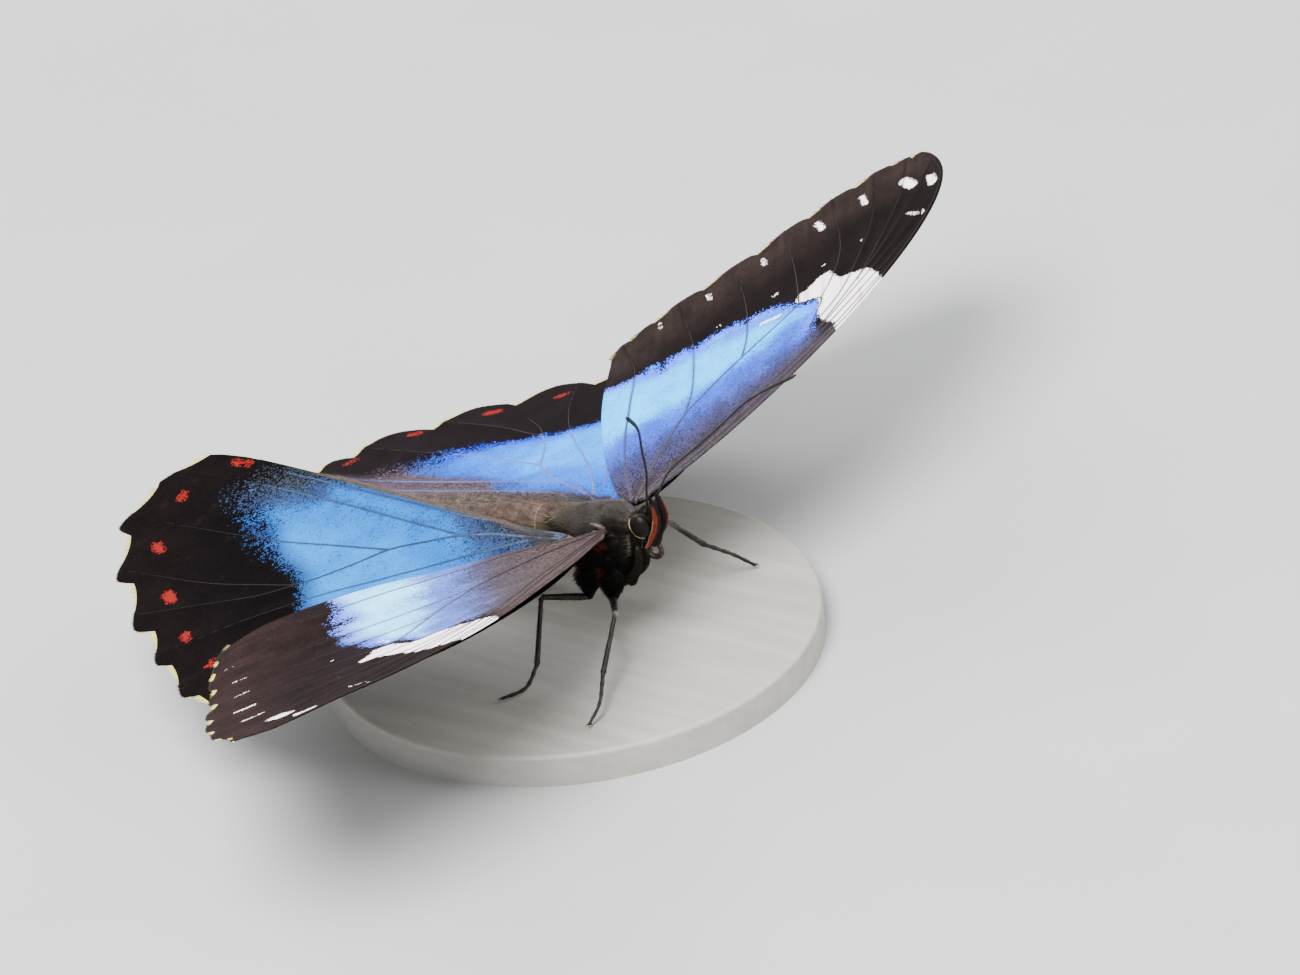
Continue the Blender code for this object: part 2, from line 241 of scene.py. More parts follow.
def on_side(points: Sequence[float] | Points, side: Side) -> Array:
    """Places given for the left side, carried to one side of the insect."""
    return np.array(points, float) * (side.value, 1, 1)


def on_sheet(flat: Array) -> Array:
    """Places of the wing plane on the unit square of the wing's texture sheet."""
    return (flat + SHEET_CORNER) / SHEET_SIZE


# Pieces.


def add_piece(
    name: str, mesh: Mesh, finishes: Sequence[Material], replaced: Sequence[str] = ()
) -> Piece:
    """Put a finished mesh in the scene as a piece that rides on the body.

    Args:
        name: The piece's name.
        mesh: Its mesh, in metres and in place.
        finishes: Its materials in slot order.
        replaced: The frame's nodes that it stands for.

    Returns:
        The new object.
    """
    mesh.name = name
    mesh.materials.clear()
    for finish in finishes:
        mesh.materials.append(finish)
    mesh.shade_smooth()
    piece = bpy.data.objects.new(name, mesh)
    bpy.context.scene.collection.objects.link(piece)
    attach(piece, "root")
    if replaced:
        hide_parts(*replaced)
    LOG.info("%s: %d faces", name, len(mesh.polygons))
    return piece


def mesh_of(bm: BMesh, name: str) -> Mesh:
    """Turn a bmesh drawn in metres into a mesh, and free it.

    Args:
        bm: The bmesh.
        name: The mesh's name.

    Returns:
        The mesh.
    """
    mesh = bpy.data.meshes.new(name)
    bm.to_mesh(mesh)
    bm.free()
    return mesh


def baked(obj: Piece) -> Mesh:
    """The mesh of an object with its modifiers or bevel applied. The object is removed.

    Args:
        obj: The object.

    Returns:
        Its finished mesh.
    """
    bpy.context.scene.collection.objects.link(obj)
    graph = bpy.context.evaluated_depsgraph_get()
    mesh = bpy.data.meshes.new_from_object(obj.evaluated_get(graph))
    bpy.data.objects.remove(obj, do_unlink=True)
    return mesh


def vertex_places(mesh: Mesh) -> Array:
    """The place of every vertex of a mesh, one per row.

    Args:
        mesh: The mesh.

    Returns:
        The places.
    """
    points = np.empty(len(mesh.vertices) * 3)
    mesh.vertices.foreach_get("co", points)
    return points.reshape(-1, 3)


def add_ball(bm: BMesh, place: Matrix, across: int, along_axis: int) -> None:
    """Add a closed sphere of radius 1, placed and stretched by a matrix."""
    bmesh.ops.create_uvsphere(bm, u_segments=across, v_segments=along_axis, radius=1.0, matrix=place)


def tube_mesh(routes: Sequence[tuple[Array, Array]], roundness: int) -> Mesh:
    """Closed round tubes along some routes, as one mesh.

    Args:
        routes: Pairs of points in metres and the tube's radius in millimetres at each.
        roundness: The bevel resolution.

    Returns:
        The joined mesh.
    """
    curve = bpy.data.curves.new("tubes", "CURVE")
    curve.dimensions = "3D"
    curve.bevel_depth = MM
    curve.bevel_resolution = roundness
    curve.use_fill_caps = True
    for points, radii in routes:
        spline = curve.splines.new("POLY")
        spline.points.add(len(points) - 1)
        spline.points.foreach_set("co", np.column_stack([points, np.ones(len(points))]).ravel())
        spline.points.foreach_set("radius", np.asarray(radii, float))
    return baked(bpy.data.objects.new("tubes", curve))


def set_field(mesh: Mesh, name: str, values: Array) -> None:
    """Store one number per vertex under a name that a material can read."""
    layer = mesh.attributes.new(name, "FLOAT", "POINT")
    layer.data.foreach_set("value", np.asarray(values, np.float32))


def set_vector(mesh: Mesh, name: str, values: Array) -> None:
    """Store one vector per vertex under a name that a material can read."""
    layer = mesh.attributes.new(name, "FLOAT_VECTOR", "POINT")
    layer.data.foreach_set("vector", np.asarray(values, np.float32).ravel())


def set_uv(mesh: Mesh, name: str, places: Array) -> None:
    """Store a UV map given one place per vertex.

    Args:
        mesh: The mesh.
        name: The map's name.
        places: The place of each vertex on it.
    """
    layer = mesh.uv_layers.new(name=name)
    corners = np.empty(len(mesh.loops), np.int32)
    mesh.loops.foreach_get("vertex_index", corners)
    layer.data.foreach_set("uv", np.asarray(places, np.float32)[corners].ravel())


# Shader building.


class Graph:
    """Short words for wiring the nodes of one material or node group."""

    def __init__(self, tree: bpy.types.NodeTree) -> None:
        """Wrap a node tree."""
        self.tree = tree

    def node(self, kind: str, **settings: object) -> Node:
        """Add a node and set its properties.

        Args:
            kind: The node's type.
            **settings: Its properties.

        Returns:
            The node.
        """
        made = self.tree.nodes.new(kind)
        for key, value in settings.items():
            setattr(made, key, value)
        return made

    def wired(self, kind: str, values: dict[str | int, object], **settings: object) -> Node:
        """Add a node, set its properties and feed its inputs.

        Args:
            kind: The node's type.
            values: A value or a socket for each input, by label or place.
            **settings: Its properties.

        Returns:
            The node.
        """
        made = self.node(kind, **settings)
        for key, value in values.items():
            self.feed(made.inputs[key], value)
        return made

    def feed(self, socket: Socket, value: object) -> None:
        """Link a socket to another, or set its value.

        Args:
            socket: The socket.
            value: Another socket, a number or a colour.
        """
        if isinstance(value, Socket):
            self.tree.links.new(value, socket)
        elif isinstance(value, tuple) and len(value) == 3 and len(socket.default_value) == 4:
            socket.default_value = (*value, 1.0)
        else:
            socket.default_value = value

    def math(self, operation: str, first: object, second: object = 0.0, third: object = 0.0) -> Socket:
        """A Math node's result."""
        values = {0: first, 1: second, 2: third}
        return self.wired("ShaderNodeMath", values, operation=operation).outputs[0]

    def times(self, first: object, second: object) -> Socket:
        """The product of two numbers."""
        return self.math("MULTIPLY", first, second)

    def plus(self, first: object, second: object) -> Socket:
        """The sum of two numbers."""
        return self.math("ADD", first, second)

    def minus(self, first: object, second: object) -> Socket:
        """The first number less the second."""
        return self.math("SUBTRACT", first, second)

    def scaled(self, value: object, factor: object, added: object) -> Socket:
        """A number times a factor, with another number added."""
        return self.math("MULTIPLY_ADD", value, factor, added)

    def centred(self, share: object) -> Socket:
        """A share from 0 to 1 moved to lie about zero."""
        return self.math("SUBTRACT", share, 0.5)

    def vector(self, operation: str, first: object, second: object) -> Socket:
        """A Vector Math node's result."""
        made = self.wired("ShaderNodeVectorMath", {0: first, 1: second}, operation=operation)
        return made.outputs["Vector"]

    def stretch(self, place: object, factors: Place) -> Socket:
        """A place multiplied by a factor on each axis."""
        return self.vector("MULTIPLY", place, factors)

    def split(self, vector: object) -> Sequence[Socket]:
        """The three parts of a vector."""
        return self.wired("ShaderNodeSeparateXYZ", {0: vector}).outputs

    def mix(self, share: object, first: object, second: object, blend: str = "MIX") -> Socket:
        """Mix two colours."""
        values = {"Factor": share, 6: first, 7: second}
        return self.wired("ShaderNodeMix", values, data_type="RGBA", blend_type=blend).outputs[2]

    def tint(self, colour: object, shade: object) -> Socket:
        """A colour multiplied by another."""
        return self.mix(1.0, colour, shade, "MULTIPLY")

    def blend(
        self, value: object, low: object, high: object, to_low: float = 0.0, to_high: float = 1.0
    ) -> Socket:
        """Smooth step of a value between two limits, sent to another range."""
        values = {0: value, 1: low, 2: high, 3: to_low, 4: to_high}
        return self.wired("ShaderNodeMapRange", values, interpolation_type="SMOOTHSTEP").outputs[0]

    def noise(self, place: object, scale: float, detail: float = 2.0, rough: float = 0.5) -> Socket:
        """A Noise texture's value."""
        values = {"Vector": place, "Scale": scale, "Detail": detail, "Roughness": rough}
        return self.wired("ShaderNodeTexNoise", values, noise_dimensions="3D").outputs[0]

    def grain(self, place: object, factors: Place, detail: float = 2.0, rough: float = 0.5) -> Socket:
        """A Noise texture's value where the place is first multiplied by a factor on each axis."""
        return self.noise(self.stretch(place, factors), 1.0, detail, rough)

    def here(self) -> Socket:
        """The place on the object, in metres."""
        return self.node("ShaderNodeTexCoord").outputs["Object"]

    def sheet(self) -> Socket:
        """The place on the wing's texture sheet."""
        return self.node("ShaderNodeUVMap", uv_map="wing_plane").outputs[0]

    def field(self, name: str) -> Socket:
        """A number stored on the mesh."""
        return self.node("ShaderNodeAttribute", attribute_name=name).outputs["Fac"]

    def chance_mix(self, low: Colour, high: Colour) -> Socket:
        """A colour between two for each lock, by the chance stored on it."""
        return self.mix(self.field("chance"), low, high)

    def bump(self, height: object, distance: float, strength: float = 1.0) -> Socket:
        """A normal bent by a height."""
        values = {"Strength": strength, "Distance": distance, "Height": height}
        return self.wired("ShaderNodeBump", values).outputs[0]

    def use(self, group: bpy.types.NodeTree, **values: object) -> Node:
        """Place a shared group and feed its inputs."""
        return self.wired("ShaderNodeGroup", values, node_tree=group)


def new_group(name: str, inputs: dict[str, str], outputs: dict[str, str]) -> tuple[Graph, Node, Node]:
    """Start a shared shader group.

    Args:
        name: The group's name.
        inputs: Socket type for each input's name.
        outputs: Socket type for each output's name.

    Returns:
        The group's graph, its input node and its output node.
    """
    tree = bpy.data.node_groups.new(name, "ShaderNodeTree")
    for way, sockets in (("INPUT", inputs), ("OUTPUT", outputs)):
        for label, kind in sockets.items():
            tree.interface.new_socket(label, in_out=way, socket_type=f"NodeSocket{kind}")
    graph = Graph(tree)
    return graph, graph.node("NodeGroupInput"), graph.node("NodeGroupOutput")


class Paint(Graph):
    """The graph of a new material, with its Principled shader."""

    def __init__(self, name: str) -> None:
        """Start the material.

        Args:
            name: The material's name.
        """
        self.material = bpy.data.materials.new(name)
        self.material.use_nodes = True
        super().__init__(self.material.node_tree)
        self.shader = self.tree.nodes["Principled BSDF"]

    def finish(self, colour: object, rough: object, specular: float = 0.5, normal: object = None) -> Material:
        """Feed the shader and give the material.

        Args:
            colour: The base colour.
            rough: The roughness.
            specular: The specular level.
            normal: The bent normal, if there is one.

        Returns:
            The finished material.
        """
        for label, value in (("Base Color", colour), ("Roughness", rough), ("Specular IOR Level", specular)):
            self.feed(self.shader.inputs[label], value)
        if normal is not None:
            self.feed(self.shader.inputs["Normal"], normal)
        return self.material


class SharedEffects:
    """The shader groups that more than one finish uses, each built once."""

    def __init__(self) -> None:
        """Build every group."""
        self.scale_cells = self._scale_cells()
        self.body_colour = self._body_colour()

    def _scale_cells(self) -> bpy.types.NodeTree:
        """Overlapping wing scales: a random share and a height for each, and a coverage mask for a field.

        Returns:
            The group's tree.
        """
        graph, start, end = new_group(
            "wing_scale_cells",
            {"Place": "Vector", "Depth": "Float", "Spread": "Float"},
            {"Random": "Float", "Height": "Float", "Cover": "Float", "Lost": "Float"},
        )
        place, depth, spread = (start.outputs[label] for label in ("Place", "Depth", "Spread"))
        cells = graph.node("ShaderNodeTexVoronoi", voronoi_dimensions="2D", feature="F1")
        graph.feed(cells.inputs["Vector"], graph.stretch(place, (620, 900, 1)))
        graph.feed(cells.inputs["Scale"], 1)
        random = graph.wired("ShaderNodeSeparateColor", {0: cells.outputs["Color"]})
        wander = graph.times(graph.centred(graph.grain(place, (60, 130, 1), 4, 0.7)), 2)
        half = graph.times(spread, 1.15)
        chance = graph.blend(graph.plus(depth, graph.times(wander, spread)), graph.times(half, -1), half)
        bar = graph.scaled(random.outputs[0], 0.88, 0.06)
        graph.feed(end.inputs["Cover"], graph.blend(graph.minus(chance, bar), -0.06, 0.06))
        graph.feed(end.inputs["Random"], random.outputs[1])
        graph.feed(end.inputs["Lost"], random.outputs[2])
        graph.feed(end.inputs["Height"], graph.minus(1, cells.outputs["Distance"]))
        return graph.tree

    def _body_colour(self) -> bpy.types.NodeTree:
        """The markings of head, thorax and abdomen, by their place on the insect.

        Returns:
            The group's tree.
        """
        graph, start, end = new_group("body_markings", {"Place": "Vector"}, {"Color": "Color"})
        local = graph.vector("SUBTRACT", start.outputs["Place"], tuple(DATUM * MM))
        local = graph.stretch(local, (1 / MM, 1 / MM, 1 / MM))
        x, y, z = graph.split(local)
        wide = graph.math("ABSOLUTE", x)
        streak = graph.grain(local, (2.6, 0.7, 2.6), 4, 0.6)
        patches = graph.noise(local, 0.55, 2)
        back = graph.mix(graph.blend(streak, 0.35, 0.68), (0.0215, 0.0188, 0.016), (0.061, 0.0545, 0.0465))
        back = graph.mix(graph.blend(patches, 0.45, 0.7), back, (0.05, 0.0438, 0.0524))
        back = graph.mix(graph.blend(y, 3.6, 7.4), back, (0.0714, 0.0581, 0.0448))
        side = graph.mix(graph.blend(streak, 0.4, 0.8), (0.0006, 0.0005, 0.0004), (0.012, 0.009, 0.007))
        side_depth = graph.scaled(graph.centred(patches), 1.6, z)
        side_depth = graph.scaled(graph.blend(y, 0, 5), 1, side_depth)
        side_depth = graph.scaled(graph.blend(y, 1.6, -1.2), -1.1, side_depth)
        thorax = graph.mix(graph.blend(side_depth, -1.4, 0.5), side, back)
        hind = graph.mix(graph.blend(streak, 0.35, 0.7), (0.0381, 0.0238, 0.0195), (0.081, 0.0548, 0.0457))
        under = graph.mix(graph.blend(streak, 0.35, 0.7), (0.0286, 0.0229, 0.0124), (0.0714, 0.0595, 0.0357))
        low = graph.scaled(y, 0.2, z)
        abdomen = graph.mix(graph.blend(low, -1.4, 0.8), under, hind)
        ring = graph.math("FRACT", graph.math("DIVIDE", graph.minus(y, 10.95), 2.47))
        ring = graph.times(graph.blend(ring, 0.86, 0.94), graph.blend(y, 12, 10.8, 0.1, 0.4))
        ring = graph.times(ring, graph.blend(y, 9.5, 10.2))
        abdomen = graph.mix(ring, abdomen, (0.181, 0.1429, 0.0905))
        colour = graph.mix(graph.blend(y, 7, 9.4), thorax, abdomen)
        face = graph.mix(graph.blend(streak, 0.35, 0.7), (0.0076, 0.0057, 0.0043), (0.0295, 0.0229, 0.0162))
        colour = graph.mix(graph.blend(y, -2.3, -3), colour, face)
        turn_y = graph.math("DIVIDE", graph.plus(y, 4.22), 1.24)
        turn_z = graph.math("DIVIDE", graph.minus(z, 0.65), 1.36)
        squares = graph.plus(graph.math("POWER", turn_y, 2), graph.math("POWER", turn_z, 2))
        far = graph.math("SQRT", squares)
        orbit = graph.minus(0.16, graph.math("ABSOLUTE", graph.minus(far, 1.32)))
        orbit = graph.times(graph.blend(orbit, 0, 0.1), graph.blend(wide, 0.7, 1))
        orbit = graph.times(orbit, graph.blend(y, -4.9, -4))
        colour = graph.mix(orbit, colour, (0.1238, 0.081, 0.0524))
        for sx, sy, sz, reach, tint in BODY_SPOTS:
            there = graph.wired("ShaderNodeCombineXYZ", {0: wide, 1: y, 2: z}).outputs[0]
            far = graph.wired("ShaderNodeVectorMath", {0: there, 1: (sx, sy, sz)}, operation="DISTANCE")
            spot = graph.blend(graph.minus(reach, far.outputs["Value"]), -0.15, 0.25)
            colour = graph.mix(spot, colour, tint)
        graph.feed(end.inputs["Color"], colour)
        return graph.tree


# Marks on both sides of the body: distance from the middle, place along Y, height, radius and colour.
BODY_SPOTS = (
    (2.55, -0.9, -0.75, 0.34, (0.34, 0.3, 0.27)),
    (2.6, -1.2, -1.75, 0.36, (0.114, 0.062, 0.019)),
    (2.85, 0.1, -4.15, 0.34, (0.033, 0.031, 0.026)),
    (3.05, 0.45, -2.5, 0.525, (0.086, 0.01, 0.007)),
    (3.1, 1.1, -3.1, 0.4725, (0.069, 0.009, 0.007)),
    (2.4, 1.8, -6.4, 0.63, (0.074, 0.018, 0.012)),
    (2.1, 2, -7.5, 0.63, (0.074, 0.018, 0.012)),
    (2.3, 5.2, -6.9, 0.735, (0.074, 0.018, 0.012)),
    (1.55, -2.35, -1.2, 0.25, (0.073, 0.063, 0.04)),
    (1.56, -2.35, -1.7, 0.25, (0.073, 0.063, 0.04)),
    (1.53, -2.28, -2.2, 0.25, (0.067, 0.06, 0.037)),
    (1.48, -2.18, -2.7, 0.24, (0.06, 0.053, 0.033)),
    (1.42, -2.07, -3.2, 0.23, (0.053, 0.047, 0.03)),
    (1.35, -1.93, -3.8, 0.22, (0.047, 0.04, 0.027)),
    (1.35, -1.85, 0.95, 0.42, (0.056, 0.04, 0.026)),
    (1.62, -2.1, 0.1, 0.26, (0.045, 0.033, 0.022)),
    (0.62, 7.75, -0.65, 0.85, (0.2, 0.157, 0.114)),
    (0.42, 7.6, -0.6, 0.6, (0.001, 0.001, 0.001)),
)


# Wing shapes.


@dataclass(frozen=True)
class WingPose:
    """Where a wing hangs: the left side's hinge, and its turns back, tip down and front up in degrees."""

    side: Side
    hinge: Place
    sweep: float
    droop: float
    lead_up: float

    def place(self, flat: Array, height: Array) -> Array:
        """Carry points of the wing frame to metres in the frame.

        Args:
            flat: Places in the wing plane, one per row.
            height: Height over the plane at each.

        Returns:
            World places in metres.
        """
        local = np.stack([self.side.value * flat[:, 0], -flat[:, 1], height], axis=1)
        return world(local @ self.turn().T + on_side(self.hinge, self.side))

    def flatten(self, points: Array) -> Array:
        """Carry world places in metres back to the wing plane."""
        local = (points / MM - DATUM - on_side(self.hinge, self.side)) @ self.turn()
        return np.stack([self.side.value * local[:, 0], -local[:, 1]], axis=1)

    def turn(self) -> Array:
        """The turn from the wing plane to the frame.

        Returns:
            Its matrix.
        """
        sign = self.side.value
        turn = Matrix.Rotation(math.radians(sign * self.sweep), 3, "Z")
        turn @= Matrix.Rotation(math.radians(sign * self.droop), 3, "Y")
        return np.array(turn @ Matrix.Rotation(math.radians(-self.lead_up), 3, "X"))


@dataclass(frozen=True)
class WingOutline:
    """The flat outline of a wing.

    Attributes:
        root_front: Front end of the root.
        root_rear: Rear end of the root.
        costa_pulls: The two pulls of the leading edge.
        inner_pulls: The two pulls of the inner edge.
        apex: The wing tip.
        notches: The notches of the outer margin from apex to tornus.
        tornus: The rear corner.
        rise: How far a lobe stands out over two notches LOBE_CHORD apart.
        skew: Power that moves a lobe's tip towards the notch before it.
        hook: How much of a lobe is cut away towards the notch after it.
        calm: How far the last lobe stands out, as a share of the others.
    """

    root_front: tuple[float, float]
    root_rear: tuple[float, float]
    costa_pulls: Points
    inner_pulls: Points
    apex: tuple[float, float]
    notches: Points
    tornus: tuple[float, float]
    rise: float
    skew: float = 0.55
    hook: float = 0.0
    calm: float = 1.0

    def front(self, t: Array) -> Array:
        """Points of the leading edge."""
        return bezier(self.root_front, self.costa_pulls, self.apex, t)

    def rear(self, t: Array) -> Array:
        """Points of the inner edge."""
        return bezier(self.root_rear, self.inner_pulls, self.tornus, t)

    def margin(self, per_lobe: int) -> Array:
        """Points of the scalloped outer margin from apex to tornus.

        Args:
            per_lobe: Points on each lobe.

        Returns:
            The points.
        """
        corners = np.array([self.apex, *self.notches, self.tornus], float)
        shares = np.arange(per_lobe) / per_lobe
        rows = []
        for number, (start, end) in enumerate(zip(corners[:-1], corners[1:])):
            step = end - start
            calm = self.calm if number == len(self.notches) else 1.0
            outwards = np.array((-step[1], step[0])) / np.linalg.norm(step)
            bulge = self.rise * math.hypot(*step) / LOBE_CHORD * np.sin(math.pi * shares**self.skew)
            bulge *= (1.0 - 1.15 * self.hook * shares) * calm
            rows.append(start + shares[:, None] * step + bulge[:, None] * outwards)
        return np.vstack([*rows, corners[-1:]])


@dataclass(frozen=True)
class Vein:
    """One wing vein: its points, and its radius at the root end and at the margin end."""

    points: Points
    start: float = 0.17
    end: float = 0.06


@dataclass(frozen=True)
class WingPaletteAsLit:
    """Colours of one wing's upper side, from the dusky base to the pale band, and of border and veins. They
    hold painted light: each wing's iridescent blue is painted lighter, darker or paler as the light and the
    angle of view fall on it.
    """

    base: Colour
    dusk: Colour
    blue: Colour
    pale: Colour
    rim: Colour
    border: Colour
    outer: Colour
    vein_base: Colour
    vein_blue: Colour
    vein_border: Colour


@dataclass
class Wing:
    """One wing: a thin scaly membrane with raised veins, a scale fringe and root hairs.

    Attributes:
        thickness: Thickness of the membrane.
        pleat: How far the membrane rises at a vein.
        vein_reach: Half width of that rise.
        bare_from: Share of the margin past which the fringe has lost its cream.
        cream_from: Share of each lobe past which its fringe is cream.
    """

    pose: WingPose
    palette: WingPaletteAsLit
    outline: WingOutline
    veins: dict[str, Vein] = field(default_factory=dict)
    kind: str = "wing"
    rows: int = 104
    per_lobe: int = 14
    thickness: float = 0.14
    pleat: float = 0.16
    vein_reach: float = 0.9
    bare_from: float = 1.0
    cream_from: float = 0.5

    @property
    def name(self) -> str:
        """The frame node's name for this wing."""
        return f"{self.kind}_{self.pose.side.word}"

    def height(self, flat: Array) -> Array:
        """Height of the membrane over the wing plane."""
        raise NotImplementedError

    def markings(self, flat: Array) -> dict[str, Array]:
        """Fields that drive the wing's colours, in millimetres or from 0 to 1."""
        raise NotImplementedError

    def eyespots(self) -> Points:
        """Ringed spots of the underside: x, y and radius."""
        raise NotImplementedError

    def routes(self) -> dict[str, Array]:
        """The smooth route of each vein in the wing plane."""
        return {name: smooth_route(vein.points, 10) for name, vein in self.veins.items()}

    def drawn(self, flat: Array) -> Array:
        """Places in the wing plane once the wing's end is drawn in."""
        return flat

    def vein_distance(self, flat: Array) -> Array:
        """Distance from the nearest vein."""
        return np.min([distance_to_route(flat, route) for route in self.routes().values()], axis=0)

    def surface(self, flat: Array, lift: float = 0.0) -> Array:
        """World places of points on the pleated membrane."""
        near = np.exp(-((self.vein_distance(flat) / self.vein_reach) ** 2))
        return self.pose.place(self.drawn(flat), self.height(flat) + self.pleat * (near - 0.5) + lift)

    def grid(self) -> tuple[BMesh, Array]:
        """A grid of quads filled in between root, edges and margin, and its flat places.

        Returns:
            The grid, and the flat place of each of its vertices.
        """
        margin = self.outline.margin(self.per_lobe)
        columns = len(margin) - 1
        bm = bmesh.new()
        bmesh.ops.create_grid(bm, x_segments=self.rows, y_segments=columns, size=1.0)
        places = np.array([vert.co[:2] for vert in bm.verts])
        u = np.round((places[:, 0] + 1) / 2 * self.rows) / self.rows
        column = np.round((places[:, 1] + 1) / 2 * columns).astype(int)
        v = (column / columns)[:, None]
        ends = np.array([0.0, 1.0])
        front_ends, rear_ends = self.outline.front(ends), self.outline.rear(ends)
        root = front_ends[0] * (1 - v) + rear_ends[0] * v
        chord = front_ends[1] * (1 - v) + rear_ends[1] * v
        across = self.outline.front(u) * (1 - v) + self.outline.rear(u) * v
        share = u[:, None]
        flat = across + root * (1 - share) + margin[column] * share - (root * (1 - share) + chord * share)
        return bm, flat

    def build_membrane(self, upper: Material, lower: Material) -> Piece:
        """Make the membrane and store its markings.

        Args:
            upper: Finish of the upper side.
            lower: Finish of the underside.

        Returns:
            The wing's object.
        """
        bm, flat = self.grid()
        for vert, place in zip(bm.verts, self.surface(flat)):
            vert.co = place
        bm.normal_update()
        if sum(face.normal.z for face in bm.faces) < 0:
            bmesh.ops.reverse_faces(bm, faces=bm.faces)
        mesh = mesh_of(bm, self.name)
        for name, values in self.markings(flat).items():
            set_field(mesh, name, values)
        set_field(mesh, "vein", self.vein_distance(flat))
        set_field(mesh, "edge", distance_to_route(flat, self.outline.margin(10)))
        rings = [np.hypot(flat[:, 0] - x, flat[:, 1] - y) / radius for x, y, radius in self.eyespots()]
        set_field(mesh, "ring", np.min(rings, axis=0))
        set_uv(mesh, "wing_plane", on_sheet(flat))
        piece = add_piece(f"{self.name}_membrane", mesh, [upper, lower], [self.name])
        solidify = piece.modifiers.new("membrane", "SOLIDIFY")
        solidify.thickness = self.thickness * MM
        solidify.offset = 0.0
        solidify.material_offset = 1
        return piece

    def build_veins(self, finish: Material) -> Piece:
        """Raised tapering veins on the membrane.

        Args:
            finish: Their material.

        Returns:
            The veins' object.
        """
        tubes = []
        t = np.linspace(0.0, 1.0, 40)
        loop = np.vstack([self.outline.front(t), self.outline.margin(10), self.outline.rear(t)[::-1]])
        for name, route in self.routes().items():
            vein = self.veins[name]
            route = route[: np.flatnonzero(depth_inside(route, loop) > 0.05)[-1] + 1]
            share = along(route)
            tubes.append((self.surface(route), vein.start + (vein.end - vein.start) * share**0.8))
        mesh = tube_mesh(tubes, 1)
        marks = self.markings(self.pose.flatten(vertex_places(mesh)))
        for name in ("blue", "tone", "inner"):
            set_field(mesh, name, marks[name])
        return add_piece(f"{self.name}_veins", mesh, [finish])

    def fringe(self, rng: np.random.Generator) -> "Locks":
        """Scale fringe along the outer margin, pale in the notches.

        Args:
            rng: Random numbers.

        Returns:
            The locks of the fringe.
        """
        per_lobe = 90
        margin = self.outline.margin(per_lobe)
        share = np.tile(np.arange(per_lobe) / per_lobe, len(self.outline.notches) + 1)
        keep = (share > 0.02) & (share < 0.98)
        edge, share = margin[:-1][keep], share[keep]
        tangent = np.gradient(margin[:-1], axis=0)[keep]
        outwards = unit(np.stack([-tangent[:, 1], tangent[:, 0]], axis=1))
        inset = edge - outwards * 0.16
        roots = self.surface(inset)
        tips = self.surface(edge + outwards * 0.5 + tangent * rng.normal(0, 0.5, (len(edge), 1)))
        up = np.tile((0.0, 0.0, 1.0), (len(edge), 1))
        longer = (0.3 + 0.35 * self.outline.hook) * ease((share - 0.5) / 0.3)
        length = rng.uniform(0.3, 0.5, len(edge)) + longer
        after = ease((share + rng.normal(0, 0.06, len(edge)) - self.cream_from) / 0.14)
        pale = np.maximum(after, ease((0.1 - share) / 0.05))
        reach = np.linspace(0.0, 1.0, len(edge))
        pale = pale * (1.0 - 0.75 * ease((reach - self.bare_from) / 0.05))
        return Locks(roots, tips - roots, up, length, 0.16, 0.0, on_sheet(inset), {"pale": pale})


@dataclass
class Locks:
    """Places of many small locks of hair or scales.

    Attributes:
        roots: Root of each, in metres.
        lie: The way each lies, of any length.
        out: The way out of the skin at each root.
        length: Length in millimetres.
        width: Width in millimetres.
        lift: How far the middle of a lock stands off the skin, as a share of its length.
        unwrap: Place of each root on the skin's unwrap.
        fields: Numbers stored on each lock.
    """

    roots: Array
    lie: Array
    out: Array
    length: Array
    width: Array | float
    lift: float
    unwrap: Array
    fields: dict[str, Array] = field(default_factory=dict)


